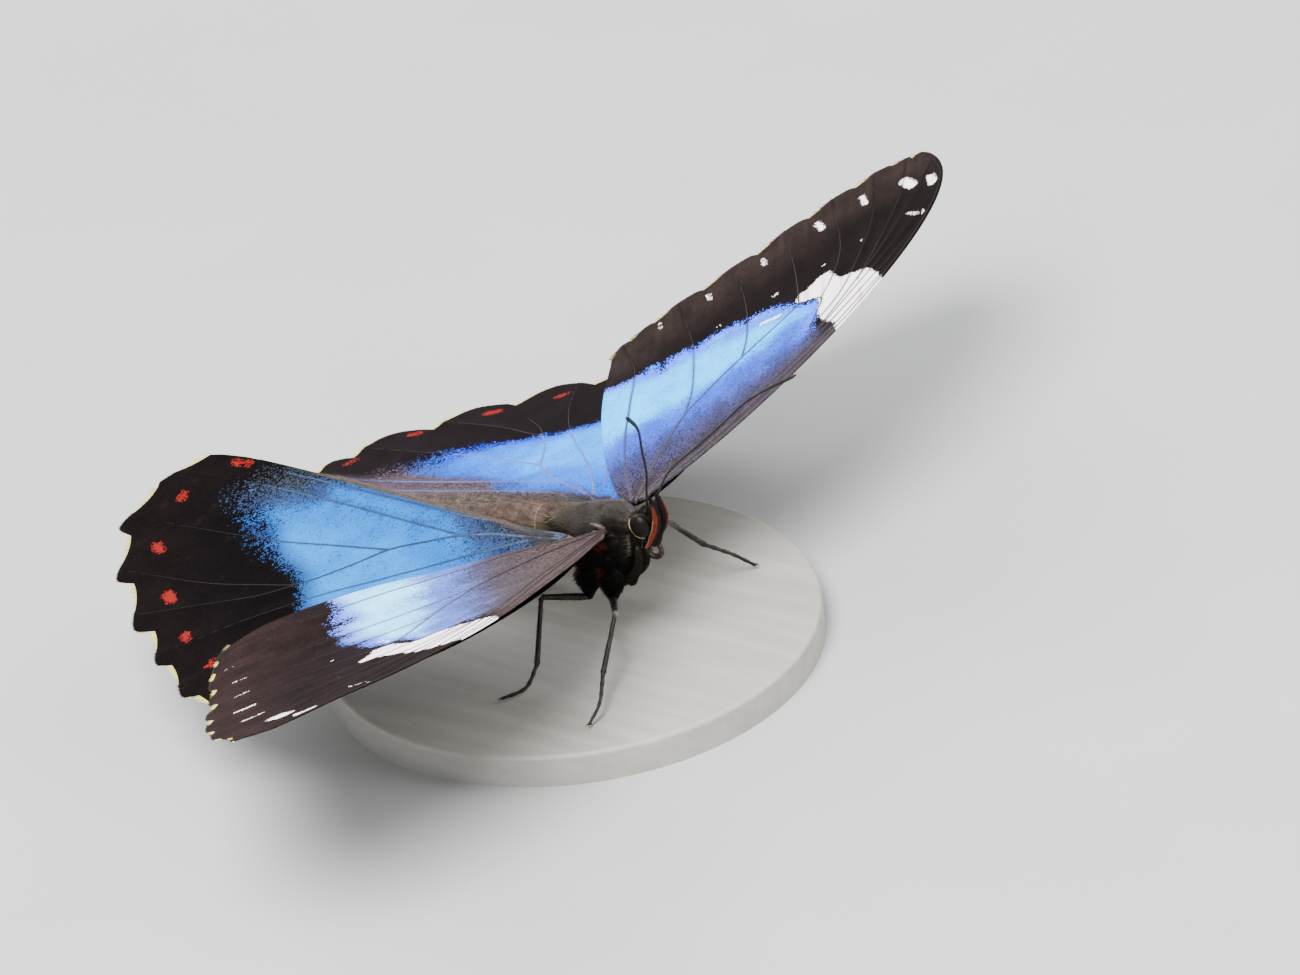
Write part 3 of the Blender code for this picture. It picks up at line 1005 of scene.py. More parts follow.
@dataclass(frozen=True)
class Coat:
    """Makes a coat piece of many joined locks, all copies of one small tapering blade."""

    cuts: int = 1
    patch: float = 0.003

    def blade(self) -> tuple[Array, list[list[int]]]:
        """One closed three-sided blade, 1 wide and 1 long: its vertices and faces.

        Returns:
            The places of its vertices, and the vertices of each face.
        """
        bm = bmesh.new()
        bmesh.ops.create_cone(bm, cap_ends=True, segments=3, radius1=0.5, radius2=0.04, depth=1.0)
        bmesh.ops.translate(bm, vec=(0.0, 0.0, 0.5), verts=bm.verts)
        for cut in range(1, self.cuts + 1):
            share = cut / (self.cuts + 1)
            geometry = [*bm.verts, *bm.edges, *bm.faces]
            bmesh.ops.bisect_plane(bm, geom=geometry, dist=1e-6, plane_co=(0, 0, share), plane_no=(0, 0, 1))
        bm.verts.index_update()
        places = np.array([vert.co[:] for vert in bm.verts])
        swell = 1.0 + 0.5 * np.sin(math.pi * np.clip(places[:, 2], 0, 1))
        places[:, :2] *= swell[:, None]
        faces = [[vert.index for vert in face.verts] for face in bm.faces]
        bm.free()
        return places, faces

    def build(self, name: str, locks: Locks, finish: Material, slot: str) -> Piece:
        """Join every lock into one piece.

        Args:
            name: The piece's name.
            locks: Where the locks stand.
            finish: Their material.
            slot: The record's material slot. Not used.

        Returns:
            The coat's object.
        """
        blade, faces = self.blade()
        count, corners = len(locks.roots), len(blade)
        out = unit(locks.out)
        lie = unit(locks.lie - out * np.sum(locks.lie * out, axis=1)[:, None] * 0.75)
        side = unit(np.cross(lie, out))
        width = np.broadcast_to(locks.width, (count,))[:, None, None] * MM
        length = locks.length[:, None, None] * MM
        t = blade[:, 2][None, :, None]
        arc = locks.lift * length * (2.0 * t - 1.4 * t * t)
        points = locks.roots[:, None, :] + lie[:, None, :] * length * t + out[:, None, :] * arc
        points = points + side[:, None, :] * width * blade[:, 0][None, :, None]
        points = points + out[:, None, :] * width * 0.35 * blade[:, 1][None, :, None]
        mesh = bpy.data.meshes.new(name)
        everyone = [[corner + lock * corners for corner in face] for lock in range(count) for face in faces]
        mesh.from_pydata(points.reshape(-1, 3), [], everyone)
        patch = np.stack([blade[:, 0] * 0.5, blade[:, 2] - 0.5], axis=1)[None] * self.patch
        set_uv(mesh, "OFBake", (locks.unwrap[:, None, :] + patch).reshape(-1, 2))
        set_vector(mesh, "root", np.repeat(locks.roots, corners, axis=0))
        for field_name, values in locks.fields.items():
            set_field(mesh, field_name, np.repeat(values, corners))
        set_field(mesh, "reach", np.tile(blade[:, 2], count))
        set_field(mesh, "chance", np.repeat(np.random.default_rng(SEED).random(count), corners))
        return add_piece(name, mesh, [finish])


def tube_locks(
    route: Array, radii: Array, count: int, length: tuple[float, float], width: float, lift: float,
    rng: np.random.Generator,
) -> Locks:
    """Scatter locks over a round tube, lying along it.

    Args:
        route: The tube's middle line, in millimetres from the datum.
        radii: Its radius at each point.
        count: How many locks.
        length: Shortest and longest lock.
        width: Width of a lock.
        lift: How far its middle stands off.
        rng: Random numbers.

    Returns:
        The locks.
    """
    share = along(route)
    place = rng.uniform(0.02, 0.97, count)
    angle = rng.uniform(0, math.tau, count)
    steps = np.gradient(route, axis=0)
    centre = np.stack([np.interp(place, share, route[:, axis]) for axis in range(3)], axis=1)
    tangent = np.stack([np.interp(place, share, steps[:, axis]) for axis in range(3)], axis=1)
    tangent = unit(tangent)
    first = unit(np.cross(tangent, (1.0, 0.0, 0.0)))
    second = np.cross(tangent, first)
    out = first * np.cos(angle)[:, None] + second * np.sin(angle)[:, None]
    roots = world(centre + out * (np.interp(place, share, radii) - 0.02)[:, None])
    unwrap = np.stack([0.1 + 0.8 * place, 0.1 + 0.8 * angle / math.tau], axis=1)
    lie = tangent + rng.normal(0, 0.15, (count, 3))
    return Locks(roots, lie, out, rng.uniform(*length, count), width, lift, unwrap)


FORE_OUTLINE = WingOutline(
    root_front=(0.1, 2.0),
    root_rear=(1.0, -1.5),
    costa_pulls=((4.6, 16.0), (41.4, 49.6)),
    inner_pulls=((8.0, -4.2), (28.0, -4.4)),
    apex=(59.6, 36.9),
    notches=(
        (59.3, 35.4), (60.2, 32.8), (59.2, 27.9), (57.2, 21.7), (54.2, 14.9), (51.8, 7.8), (49.6, 1.3),
        (47.8, -1.8),
    ),
    tornus=(44.8, -4.4),
    rise=1.15,
)
HIND_OUTLINE = WingOutline(
    root_front=(1.5, 1.6),
    root_rear=(1.5, -1.8),
    costa_pulls=((8.0, 7.0), (37.0, -6.0)),
    inner_pulls=((2.0, -13.0), (4.2, -38.0)),
    apex=(43.6, -13.4),
    notches=(
        (43.4, -17), (43.2, -22.3), (40.3, -28.7), (36.4, -34.5), (30.8, -42.3), (24.2, -48.2), (16, -50.9),
    ),
    tornus=(8.7, -48.9),
    rise=2.15,
    skew=0.5,
    hook=0.85,
    calm=0.35,
)
LEFT_HIND_OUTLINE = replace(
    HIND_OUTLINE,
    notches=(
        (45.1, -16.6), (43.2, -22.3), (40.4, -28.6), (34, -35.7), (27.1, -42.9), (18.6, -48.6), (14, -50.4),
    ),
    rise=2.9,
    skew=0.85,
    hook=0.0,
    calm=1.0,
)

# Outlines of the blue field and of the forewing's white patch, in the wing plane.
FORE_BLUE = (
    (1, -9), (12, -9), (24, -9), (34.3, -8), (34, -3), (34.6, 0), (36.4, 1.9), (33.4, 2.5), (36.6, 3.9),
    (36.8, 6.4), (35.9, 6.9), (37.6, 9), (37.4, 12.8), (35.7, 13.5), (37.2, 15.6), (35.8, 18.6), (33.3, 20.9),
    (31.6, 23.8), (27, 23.4), (24, 22.6), (20.5, 22.8), (16, 18.8), (10, 12.8), (5, 7.2), (1, 2.4),
)
FORE_WHITE = (
    (18, 26.3), (20.5, 29.4), (25.6, 32), (30.2, 31.4), (33.6, 29.4), (35, 26.2), (38.6, 24.4), (37, 22.5),
    (34.8, 20.6), (33.4, 20.9), (31.9, 23.4), (28, 23.5), (25.4, 24), (22.4, 25.8),
)
HIND_BLUE = (
    (1.5, -2), (3.2, -6), (4, -11), (4.8, -17), (5.6, -24.5), (6.6, -32.5), (7.4, -37), (10, -39),
    (12.8, -40.2), (14.2, -37.8), (16.2, -35), (18.2, -32.2), (20.3, -29), (21.3, -25.6), (23.4, -23.2),
    (26.4, -20.4), (29, -17.5), (31, -12), (29, -7.5), (22, -3.8), (11, -1.4), (4, -0.2),
)


@dataclass
class Forewing(Wing):
    """A forewing, whose rear half arches up over the hindwing.

    Attributes:
        rise: Height of the rear edge at places along the wing.
        costal_lift: How far the leading edge lifts near the root.
        late: How much further out than usual the blue begins.
        drawn_in: How much nearer the root the blue ends.
        slant: How far the front of the wing lags behind in turning blue.
        short: How much nearer the root the wing's end lies.
        tip_sag: How far the wing's end sags.
    """

    kind: str = "forewing"
    rise: Points = ()
    costal_lift: float = 0.0
    late: float = 0.0
    drawn_in: float = 0.0
    slant: float = 0.6
    short: float = 0.0
    tip_sag: float = 0.0
    cream_from: float = 0.64

    def drawn(self, flat: Array) -> Array:
        """Places in the wing plane once the wing's end is drawn in.

        Args:
            flat: Places in the wing plane.

        Returns:
            The drawn-in places.
        """
        begin = 40.0 + 0.25 * np.maximum(flat[:, 1], 0.0)
        inwards = self.short * ease((flat[:, 0] - begin) / 14.0)
        return flat - np.stack([inwards, 0.0 * flat[:, 1]], axis=1)

    def height(self, flat: Array) -> Array:
        """Height of the membrane over the wing plane.

        Args:
            flat: Places in the wing plane.

        Returns:
            The height at each place.
        """
        profile = smooth_route(self.rise, 8)
        arch = np.interp(flat[:, 0], profile[:, 0], profile[:, 1])
        front = ease((flat[:, 1] - 0.75 * flat[:, 0] - 1.5) / 5.0) * ease((26.0 - flat[:, 0]) / 16.0)
        sag = self.tip_sag * ease((flat[:, 0] - 44.0) / 15.0)
        arch = arch * ease((8.0 - flat[:, 1]) / 13.0)
        return arch + self.costal_lift * front * ease(flat[:, 0] / 3.0) - sag

    def markings(self, flat: Array) -> dict[str, Array]:
        """Fields of the blue, the white patch and spots, and the tone from dusky base to pale band, whose
        bright pale middle is partly painted sheen.

        Args:
            flat: Places in the wing plane.

        Returns:
            The fields by name.
        """
        x, y = flat[:, 0], flat[:, 1]
        blue = smooth_route(FORE_BLUE, 6)
        white = smooth_route(FORE_WHITE, 6)
        reach = x - self.slant * (y - 2.0) - self.late
        moved = flat + np.stack([self.drawn_in * ease((x - 26.0) / 6.0), 0.0 * y], axis=1)
        patch = np.minimum(depth_inside(flat, white), x - 18.0 - 1.1 * self.late)
        # The tone's rise from the dusky base to the pale band is partly painted sheen of the iridescent
        # scales.
        tone = np.interp(reach, (3.0, 10.0, 17.0, 22.5), (0.0, 1.0, 2.0, 3.0))
        return {
            "blue": depth_inside(moved, blue),
            "white": np.maximum(patch, depth_in_spots(flat, FORE_SPOTS) - 0.1 * self.short),
            "red": np.full(len(flat), NOWHERE),
            "tone": tone - 0.7 * ease((x - 29.0) / 6.0),
            "inner": ease((26.0 - x) / 8.0),
            "soft": 1.2 + 2.2 * ease((20.0 - x) / 6.0),
            "fold": np.zeros(len(flat)),
        }

    def eyespots(self) -> Points:
        """Ringed spots of the underside: x, y and radius."""
        return ((48.5, 30.5, 2.3), (46.5, 24.0, 2.0), (42.5, 9.5, 2.7))


@dataclass
class Hindwing(Wing):
    """A hindwing, tucked under the forewing and folded down beside the abdomen.

    Attributes:
        tip_sag: How far the tip sags.
        mauve: How much of the strip along the fold turns mauve towards its end.
    """

    kind: str = "hindwing"
    cream_from: float = 0.4
    tip_sag: float = 0.3
    mauve: float = 0.0

    def crest(self, flat: Array) -> Array:
        """How far out the crest of the fold lies."""
        return 3.4 - 0.085 * flat[:, 1]

    def height(self, flat: Array) -> Array:
        """Height of the membrane over the wing plane.

        Args:
            flat: Places in the wing plane.

        Returns:
            The height at each place.
        """
        crest = self.crest(flat)
        fold = np.maximum(crest - flat[:, 0], 0.0) * 0.8 * ease(-flat[:, 1] / 8.0)
        tuck = 1.3 * ease((flat[:, 1] + 9.0) / 9.0) * ease(flat[:, 0] / 2.5)
        sag = self.tip_sag * ease(np.hypot(flat[:, 0], flat[:, 1]) / 52.0)
        return -fold - tuck - sag

    def markings(self, flat: Array) -> dict[str, Array]:
        """Fields of the blue, the red spots, the tone of the blue, whose bright and dim parts are partly
        painted sheen and painted shade, and the fold beside the abdomen.

        Args:
            flat: Places in the wing plane.

        Returns:
            The fields by name.
        """
        x, y = flat[:, 0], flat[:, 1]
        blue = smooth_route(HIND_BLUE, 6)
        crest = self.crest(flat)
        plain = 1.0 - self.mauve
        shift = 1.1 * plain * ease((12.0 - x) / 4.0)
        shift = shift - 1.5 * self.mauve * ease((x - 14.0) / 6.0) * ease((-y - 22.0) / 4.0)
        moved = flat + np.stack([shift, 0.0 * y], axis=1)
        far = ease((-y - 24.0 - 0.35 * x) / 12.0)
        # The tone's rises and falls across the wing are partly painted light: sheen and shade of the
        # iridescent scales.
        tone = np.interp(x - crest, (-1.0, 1.0, 4.5, 10.0, 20.0, 28.0), (0.7, 1.1, 2.0, 2.8, 3.0, 2.4))
        tone = tone - 1.7 * far
        tone = tone - 0.8 * plain * ease((y + 15.0) / 8.0) - 0.7 * self.mauve * ease((-y - 20.0) / 8.0)
        strip = 0.9 * plain * ease((crest + 3.5 - x) / 2.5) * ease((-y - 12.0) / 8.0)
        tone = tone + strip * ease((y + 37.0) / 6.0)
        tone = tone - 2.4 * self.mauve * ease((crest + 6.5 - x) / 4.5) * ease((-y - 15.0) / 12.0)
        bare = self.mauve * ease((crest + 5.0 - x) / 3.0) * ease((-y - 29.0) / 8.0) * 3.0
        return {
            "blue": depth_inside(moved, blue) - bare,
            "white": np.full(len(flat), NOWHERE),
            "red": depth_in_spots(flat - (1.2 * self.mauve, -1.0 * self.mauve), HIND_SPOTS),
            "tone": tone,
            "inner": self.mauve * ease((crest + 6.5 - x) / 4.5) * ease((-y - 16.0) / 14.0),
            "soft": 1.3 + 2.6 * ease((-y - 27.0) / 9.0),
            "fold": ease((crest + 0.6 - 1.1 * plain - x) / 1.6),
        }

    def eyespots(self) -> Points:
        """Ringed spots of the underside: x, y and radius."""
        return ((34.5, -14.5, 3.4), (31.0, -27.5, 2.6), (25.0, -34.0, 2.9), (17.5, -38.5, 2.6))

    def hair(self) -> "Locks":
        """Long soft hair over the fold and the base of the wing.

        Returns:
            The locks of hair.
        """
        rng = np.random.default_rng(SEED + 90 + self.pose.side.value)
        count = 3200
        y = -1.5 - 33.0 * rng.random(count) ** 1.3
        x = 1.9 - 0.02 * y + rng.random(count) * (1.4 - 0.062 * y + 2.0 * np.exp(y / 3.0))
        flat = np.stack([x, y], axis=1)
        roots = self.surface(flat, 0.05)
        lie = self.surface(flat + (0.12, -0.6) + rng.normal(0, 0.14, (count, 2)), 0.05) - roots
        aside = self.surface(flat + (0.3, 0.0), 0.05) - roots
        out = np.cross(aside, self.surface(flat + (0.0, 0.3), 0.05) - roots)
        out *= np.sign(out[:, 2])[:, None]
        length = rng.uniform(0.6, 1.3, count) * (1.0 + 0.6 * np.exp((y + 2.0) / 4.0))
        near = ease((y + 9.0) / 6.0)
        return Locks(roots, lie, out, length, 0.05, 0.14, on_sheet(flat), {"near": near})


FORE_SPOTS = (
    (50, 38.2, 1.6, 0.55, -8), (52.3, 35.1, 2, 0.65, -26), (54.2, 29.1, 1.7, 0.34, -12),
    (53.3, 23.2, 1.7, 0.36, -16), (51.1, 15.8, 1.2, 0.22, -10), (48.8, 8.6, 1.1, 0.22, -8),
    (47.8, 2, 0.9, 0.14, -6), (42.7, 35.9, 1.3, 0.18, -36), (41.8, 37.2, 0.5, 0.12, 5),
    (39.6, 17.6, 0.45, 0.24, 60), (38.9, 10.1, 0.35, 0.12, -30), (33, 17, 1.5, 0.3, 100),
    (42.3, 28.9, 0.25, 0.1, 0), (41.2, 24, 0.3, 0.12, 0),
)
HIND_SPOTS = (
    (8.3, -44.3, 1.2, 0.5, 105), (16, -47.1, 1, 0.4, 15), (24.6, -43.7, 1.05, 0.62, 60),
    (31, -36.7, 1.2, 0.72, 60), (35.8, -30.2, 0.95, 0.48, 40), (38.3, -24.5, 0.8, 0.36, 10),
)
FORE_VEINS = {
    "costa": Vein(tuple(map(tuple, FORE_OUTLINE.front(np.linspace(0, 0.97, 9)) + (0.3, -0.3))), 0.15, 0.08),
    "subcosta": Vein(((-0.4, 0.9), (6, 9.3), (13, 17), (20, 24.2), (26, 28.9), (31.5, 33)), 0.26, 0.07),
    "radius_1": Vein(
        ((-0.2, 0.5), (5, 6.3), (11, 13.2), (17, 19.6), (22.5, 24.6), (30, 30.4), (36.8, 35.6)), 0.26, 0.07
    ),
    "radius_2": Vein(((17, 19.6), (23, 23.8), (28.5, 27.6), (36, 32.6), (44.6, 38.3)), 0.13),
    "radius_4": Vein(((22, 23), (29, 27), (38, 31.8), (48, 35.8), (56.5, 38.6)), 0.13),
    "radius_5": Vein(((31.5, 28.6), (40, 31.4), (50, 34), (59.8, 34.8)), 0.11),
    "media_1": Vein(((24.4, 22.6), (30, 26.2), (38, 28.6), (48, 30.4), (60, 30.4)), 0.12),
    "media_2": Vein(((31.6, 23.8), (36, 25.2), (44, 26.2), (58.4, 24.9)), 0.12),
    "media_3": Vein(((32.9, 20.9), (38, 20.6), (46, 19.9), (55.9, 18.4)), 0.12),
    "cell_end": Vein(((22, 23), (24.4, 22.6), (28, 23.3), (31.6, 23.8), (32.9, 20.9)), 0.12, 0.12),
    "cubitus": Vein(
        ((-0.2, 0), (5, 1.9), (11, 3.9), (17.4, 6.2), (22, 9.7), (25.9, 13.5), (29.4, 17.3), (32.9, 20.9)),
        0.26, 0.12,
    ),
    "cubitus_1": Vein(((25.9, 13.5), (31, 14), (38, 13.9), (46, 13), (53.2, 11.4)), 0.13),
    "cubitus_2": Vein(((17.4, 6.2), (23, 6.9), (30, 7), (38, 6.6), (50.9, 4.5)), 0.13),
    "anal": Vein(((0.4, -0.5), (8, -1), (16, -1), (25, -0.6), (36, -0.6), (46.6, -2.8)), 0.19),
}
HIND_VEINS = {
    "subcosta": Vein(((1.2, 0.9), (8, 1.2), (20, -1.2), (32, -5.8), (44.6, -14.6)), 0.22),
    "radial": Vein(((3.6, -1.6), (12, -4), (24, -10), (35, -17.4), (45, -19.6)), 0.16),
    "media_1": Vein(((8, -5), (18, -11), (29, -19), (43.3, -25.2)), 0.14),
    "media_2": Vein(((4.4, -4.2), (10, -8.2), (17, -14.4), (24, -20.8), (32, -26.6), (40, -30.9)), 0.16),
    "cubitus": Vein(
        (
            (1.6, -0.8), (4.2, -4.8), (7.7, -11.3), (10.4, -14.6), (13.4, -17.8), (17.8, -20.4),
            (22.6, -23.8), (24.6, -27.6), (27.4, -34.6), (29.6, -44.6),
        ), 0.22, 0.07
    ),
    "media_3": Vein(((22.6, -23.8), (26.4, -27), (30.4, -32), (35.6, -38.6)), 0.11),
    "cubitus_1": Vein(((13.4, -17.8), (15.6, -24.6), (17.8, -31.4), (19.6, -40), (21.6, -49.8)), 0.15),
    "cubitus_2": Vein(((7.7, -11.3), (8.4, -19), (9.3, -30), (10.8, -41), (13.2, -50.6)), 0.14),
    "anal_2": Vein(((1.8, -1.4), (4.4, -11), (5.8, -23), (7, -34), (8.6, -47.4)), 0.18),
    "anal_3": Vein(((1.7, -1.8), (2.5, -12), (3.8, -24), (5.2, -35), (6.4, -42.5)), 0.13),
}


# Finishes.


@dataclass(frozen=True)
class WingUpper:
    """The upper side of a wing: a blue field of scales in a brown-black border."""

    effects: SharedEffects
    palette: WingPaletteAsLit
    name: str

    def build(self) -> Material:
        """Wire the finish from the markings stored on the membrane.

        Returns:
            The material.
        """
        graph = Paint(self.name)
        place = graph.sheet()
        tones = self.palette
        scales = self.effects.scale_cells
        cells = graph.use(scales, Place=place, Depth=graph.field("blue"), Spread=graph.field("soft"))
        soft = graph.grain(place, (22, 34, 1), 3)
        grain = graph.scaled(graph.centred(cells.outputs["Random"]), 0.4, soft)
        tone = graph.scaled(graph.centred(grain), 0.9, graph.field("tone"))
        # The colour follows the tone from the dusky base through the blue to the pale band; the brighter,
        # paler blues are partly painted sheen.
        blue = graph.mix(graph.blend(tone, 0, 1), tones.base, tones.dusk)
        blue = graph.mix(graph.blend(tone, 1, 2), blue, tones.blue)
        blue = graph.mix(graph.blend(tone, 2, 3), blue, tones.pale)
        outwards = graph.times(graph.blend(graph.field("blue"), 3.2, 0), graph.blend(tone, 1.2, 2))
        blue = graph.mix(graph.times(outwards, 0.85), blue, tones.rim)
        shaded = graph.mix(graph.blend(grain, 0.2, 0.8), (0.78, 0.82, 0.9), (1.2, 1.16, 1.1))
        blue = graph.tint(blue, shaded)
        mealy = graph.mix(
            graph.blend(cells.outputs["Random"], 0.2, 0.9), (0.62, 0.62, 0.62), (1.5, 1.45, 1.4)
        )
        blue = graph.mix(graph.blend(tone, 1, 0.3), blue, graph.tint(blue, mealy))
        share = graph.blend(graph.field("tone"), 0.6, 2.6, 0.16, 0.012)
        lost = graph.blend(graph.minus(share, cells.outputs["Lost"]), -0.01, 0.01)
        blue = graph.mix(graph.times(lost, 0.75), blue, tones.border)
        streaks = graph.grain(place, (9, 120, 1), 2)
        near_edge = graph.blend(graph.field("edge"), 13, 1)
        outer = graph.times(near_edge, graph.blend(streaks, 0.2, 0.8, 0.6, 1))
        dark = graph.mix(outer, tones.border, tones.outer)
        wear = graph.blend(graph.grain(place, (34, 60, 1), 4, 0.7), 0.55, 0.8)
        dark = graph.mix(graph.times(wear, 0.45), dark, (0.009, 0.006, 0.004))
        shaded = graph.mix(graph.blend(grain, 0.25, 0.75), (0.7, 0.7, 0.7), (1.45, 1.4, 1.4))
        dark = graph.mix(graph.field("inner"), dark, tones.base)
        dark = graph.tint(dark, shaded)
        colour = graph.mix(cells.outputs["Cover"], dark, blue)
        folded = graph.mix(graph.blend(grain, 0.2, 0.8), (0.042, 0.03, 0.024), (0.11, 0.086, 0.072))
        colour = graph.mix(graph.field("fold"), colour, folded)
        white = graph.use(scales, Place=place, Depth=graph.field("white"), Spread=0.3)
        pale = graph.mix(graph.blend(streaks, 0.56, 0.72, 0, 0.6), (0.9, 0.82, 0.84), (0.42, 0.31, 0.33))
        colour = graph.mix(white.outputs["Cover"], colour, pale)
        red = graph.use(scales, Place=place, Depth=graph.field("red"), Spread=0.45)
        colour = graph.mix(red.outputs["Cover"], colour, (0.15, 0.009, 0.007))
        line = graph.blend(graph.field("vein"), 0.34, 0.08)
        vein = graph.mix(graph.field("inner"), tones.border, tones.vein_base)
        vein = graph.mix(cells.outputs["Cover"], vein, tones.vein_blue)
        colour = graph.mix(graph.times(line, 0.6), colour, vein)
        rough = graph.blend(cells.outputs["Cover"], 0, 1, 0.62, 0.42)
        return graph.finish(colour, rough, 0.015, graph.bump(cells.outputs["Height"], 0.00002, 0.35))


@dataclass(frozen=True)
class WingLower:
    """The underside of a wing: brown with ringed spots and paler bands."""

    effects: SharedEffects
    name: str = "wing_underside"

    def build(self) -> Material:
        """Wire the finish from the markings stored on the membrane.

        Returns:
            The material.
        """
        graph = Paint(self.name)
        place = graph.sheet()
        cells = graph.use(self.effects.scale_cells, Place=place, Depth=graph.field("blue"), Spread=1.6)
        mottle = graph.grain(place, (16, 26, 1), 4, 0.6)
        colour = graph.mix(graph.blend(mottle, 0.35, 0.7), (0.0326, 0.0176, 0.011), (0.0927, 0.0557, 0.0344))
        band = graph.blend(graph.math("ABSOLUTE", graph.minus(graph.field("blue"), 1.2)), 0.9, 0.2)
        colour = graph.mix(graph.times(band, 0.6), colour, (0.2067, 0.1628, 0.1063))
        ring = graph.field("ring")
        for inner, outer, tint in (
            (1.3, 1.16, (0.1674, 0.1249, 0.0714)), (1.16, 1.04, (0.0084, 0.0043, 0.0033)),
            (1.02, 0.94, (0.2452, 0.1452, 0.0326)), (0.8, 0.74, (0.0557, 0.0141, 0.0069)),
            (0.62, 0.56, (0.0043, 0.0025, 0.0025)), (0.24, 0.16, (0.3585, 0.3585, 0.3768)),
        ):
            colour = graph.mix(graph.blend(ring, inner, outer), colour, tint)
        edge = graph.blend(graph.field("vein"), 0.3, 0.1)
        colour = graph.mix(graph.times(edge, 0.5), colour, (0.0201, 0.011, 0.0076))
        shade = graph.mix(cells.outputs["Random"], (0.8, 0.8, 0.8), (1.15, 1.15, 1.15))
        normal = graph.bump(cells.outputs["Height"], 0.00002, 0.35)
        return graph.finish(graph.tint(colour, shade), 0.6, normal=normal)


@dataclass(frozen=True)
class Fringe:
    """The scale fringe: brown, and cream in the notches."""

    name: str = "wing_fringe"

    def build(self) -> Material:
        """Wire the finish.

        Returns:
            The material.
        """
        graph = Paint(self.name)
        brown = graph.chance_mix((0.008, 0.005, 0.005), (0.028, 0.019, 0.016))
        cream = graph.chance_mix((0.28, 0.24, 0.07), (0.62, 0.57, 0.15))
        return graph.finish(graph.mix(graph.field("pale"), brown, cream), 0.6, 0.05)


@dataclass(frozen=True)
class VeinSkin:
    """Raised veins: scaly tubes that take their colour from the field they cross."""

    palette: WingPaletteAsLit
    name: str

    def build(self) -> Material:
        """Wire the finish from the fields stored on the veins.

        Returns:
            The material.
        """
        graph = Paint(self.name)
        place = graph.here()
        speck = graph.blend(graph.noise(place, 3500, 2), 0.35, 0.65)
        tones = self.palette
        inside = graph.mix(graph.blend(graph.field("tone"), 0.8, 1.9), tones.vein_base, tones.vein_blue)
        cover = graph.math("MAXIMUM", graph.blend(graph.field("blue"), -0.6, 0.6), graph.field("inner"))
        colour = graph.mix(cover, tones.vein_border, inside)
        shade = graph.mix(speck, (0.65, 0.65, 0.65), (1.2, 1.2, 1.2))
        return graph.finish(graph.tint(colour, shade), 0.55, 0.06)


@dataclass(frozen=True)
class WingHair:
    """Long soft hair on the hindwing's fold and base."""

    name: str = "wing_hair"

    def build(self) -> Material:
        """Wire the finish.

        Returns:
            The material.
        """
        graph = Paint(self.name)
        beige = graph.chance_mix((0.0357, 0.0262, 0.02), (0.1143, 0.0905, 0.0738))
        grey = graph.chance_mix((0.019, 0.0171, 0.019), (0.0524, 0.0476, 0.0548))
        return graph.finish(graph.mix(graph.field("near"), beige, grey), 0.6, 0.1)


@dataclass(frozen=True)
class BodyHair:
    """Skin and coat of head, thorax and abdomen, which share one set of markings."""

    effects: SharedEffects
    name: str
    is_coat: bool

    def build(self) -> Material:
        """Wire the finish.

        Returns:
            The material.
        """
        graph = Paint(self.name)
        place = graph.here()
        roots = graph.node("ShaderNodeAttribute", attribute_name="root").outputs["Vector"]
        marks = graph.use(self.effects.body_colour, Place=roots if self.is_coat else place)
        colour, normal = marks.outputs["Color"], None
        if self.is_coat:
            tone = graph.scaled(graph.field("chance"), 0.6, graph.times(graph.field("reach"), 0.4))
            colour = graph.tint(colour, graph.mix(tone, (0.6, 0.6, 0.6), (1.5, 1.48, 1.45)))
        else:
            normal = graph.bump(graph.grain(place, (9000, 2500, 9000), 2), 0.00012, 0.6)
        return graph.finish(colour, 0.7, 0.08, normal)


@dataclass(frozen=True)
class BrushHair:
    """Black to olive-grey hair of the folded forelegs."""

    name: str = "brush_hair"

    def build(self) -> Material:
        """Wire the finish.

        Returns:
            The material.
        """
        graph = Paint(self.name)
        tone = graph.times(graph.field("chance"), graph.blend(graph.field("reach"), 0, 1, 0.5, 1))
        return graph.finish(graph.mix(tone, (0.001, 0.0007, 0.0006), (0.022, 0.018, 0.012)), 0.7, 0.08)


@dataclass(frozen=True)
class Chitin:
    """Scaly dark chitin of legs, feelers and tongue, cream where the named field is 1."""

    low: Colour
    high: Colour
    name: str
    gloss: float = 0.42
    cream_field: str = ""

    def build(self) -> Material:
        """Wire the finish.

        Returns:
            The material.
        """
        graph = Paint(self.name)
        place = graph.here()
        speck = graph.noise(place, 2600, 3)
        broad = graph.noise(place, 380, 2)
        tone = graph.scaled(speck, 0.6, graph.times(broad, 0.4))
        colour = graph.mix(graph.blend(tone, 0.38, 0.66), self.low, self.high)
        if self.cream_field:
            colour = graph.mix(graph.field(self.cream_field), colour, (0.19, 0.15, 0.11))
        rough = graph.blend(speck, 0.3, 0.7, self.gloss + 0.12, self.gloss - 0.08)
        return graph.finish(colour, rough, 0.25, graph.bump(speck, 0.00003, 0.6))


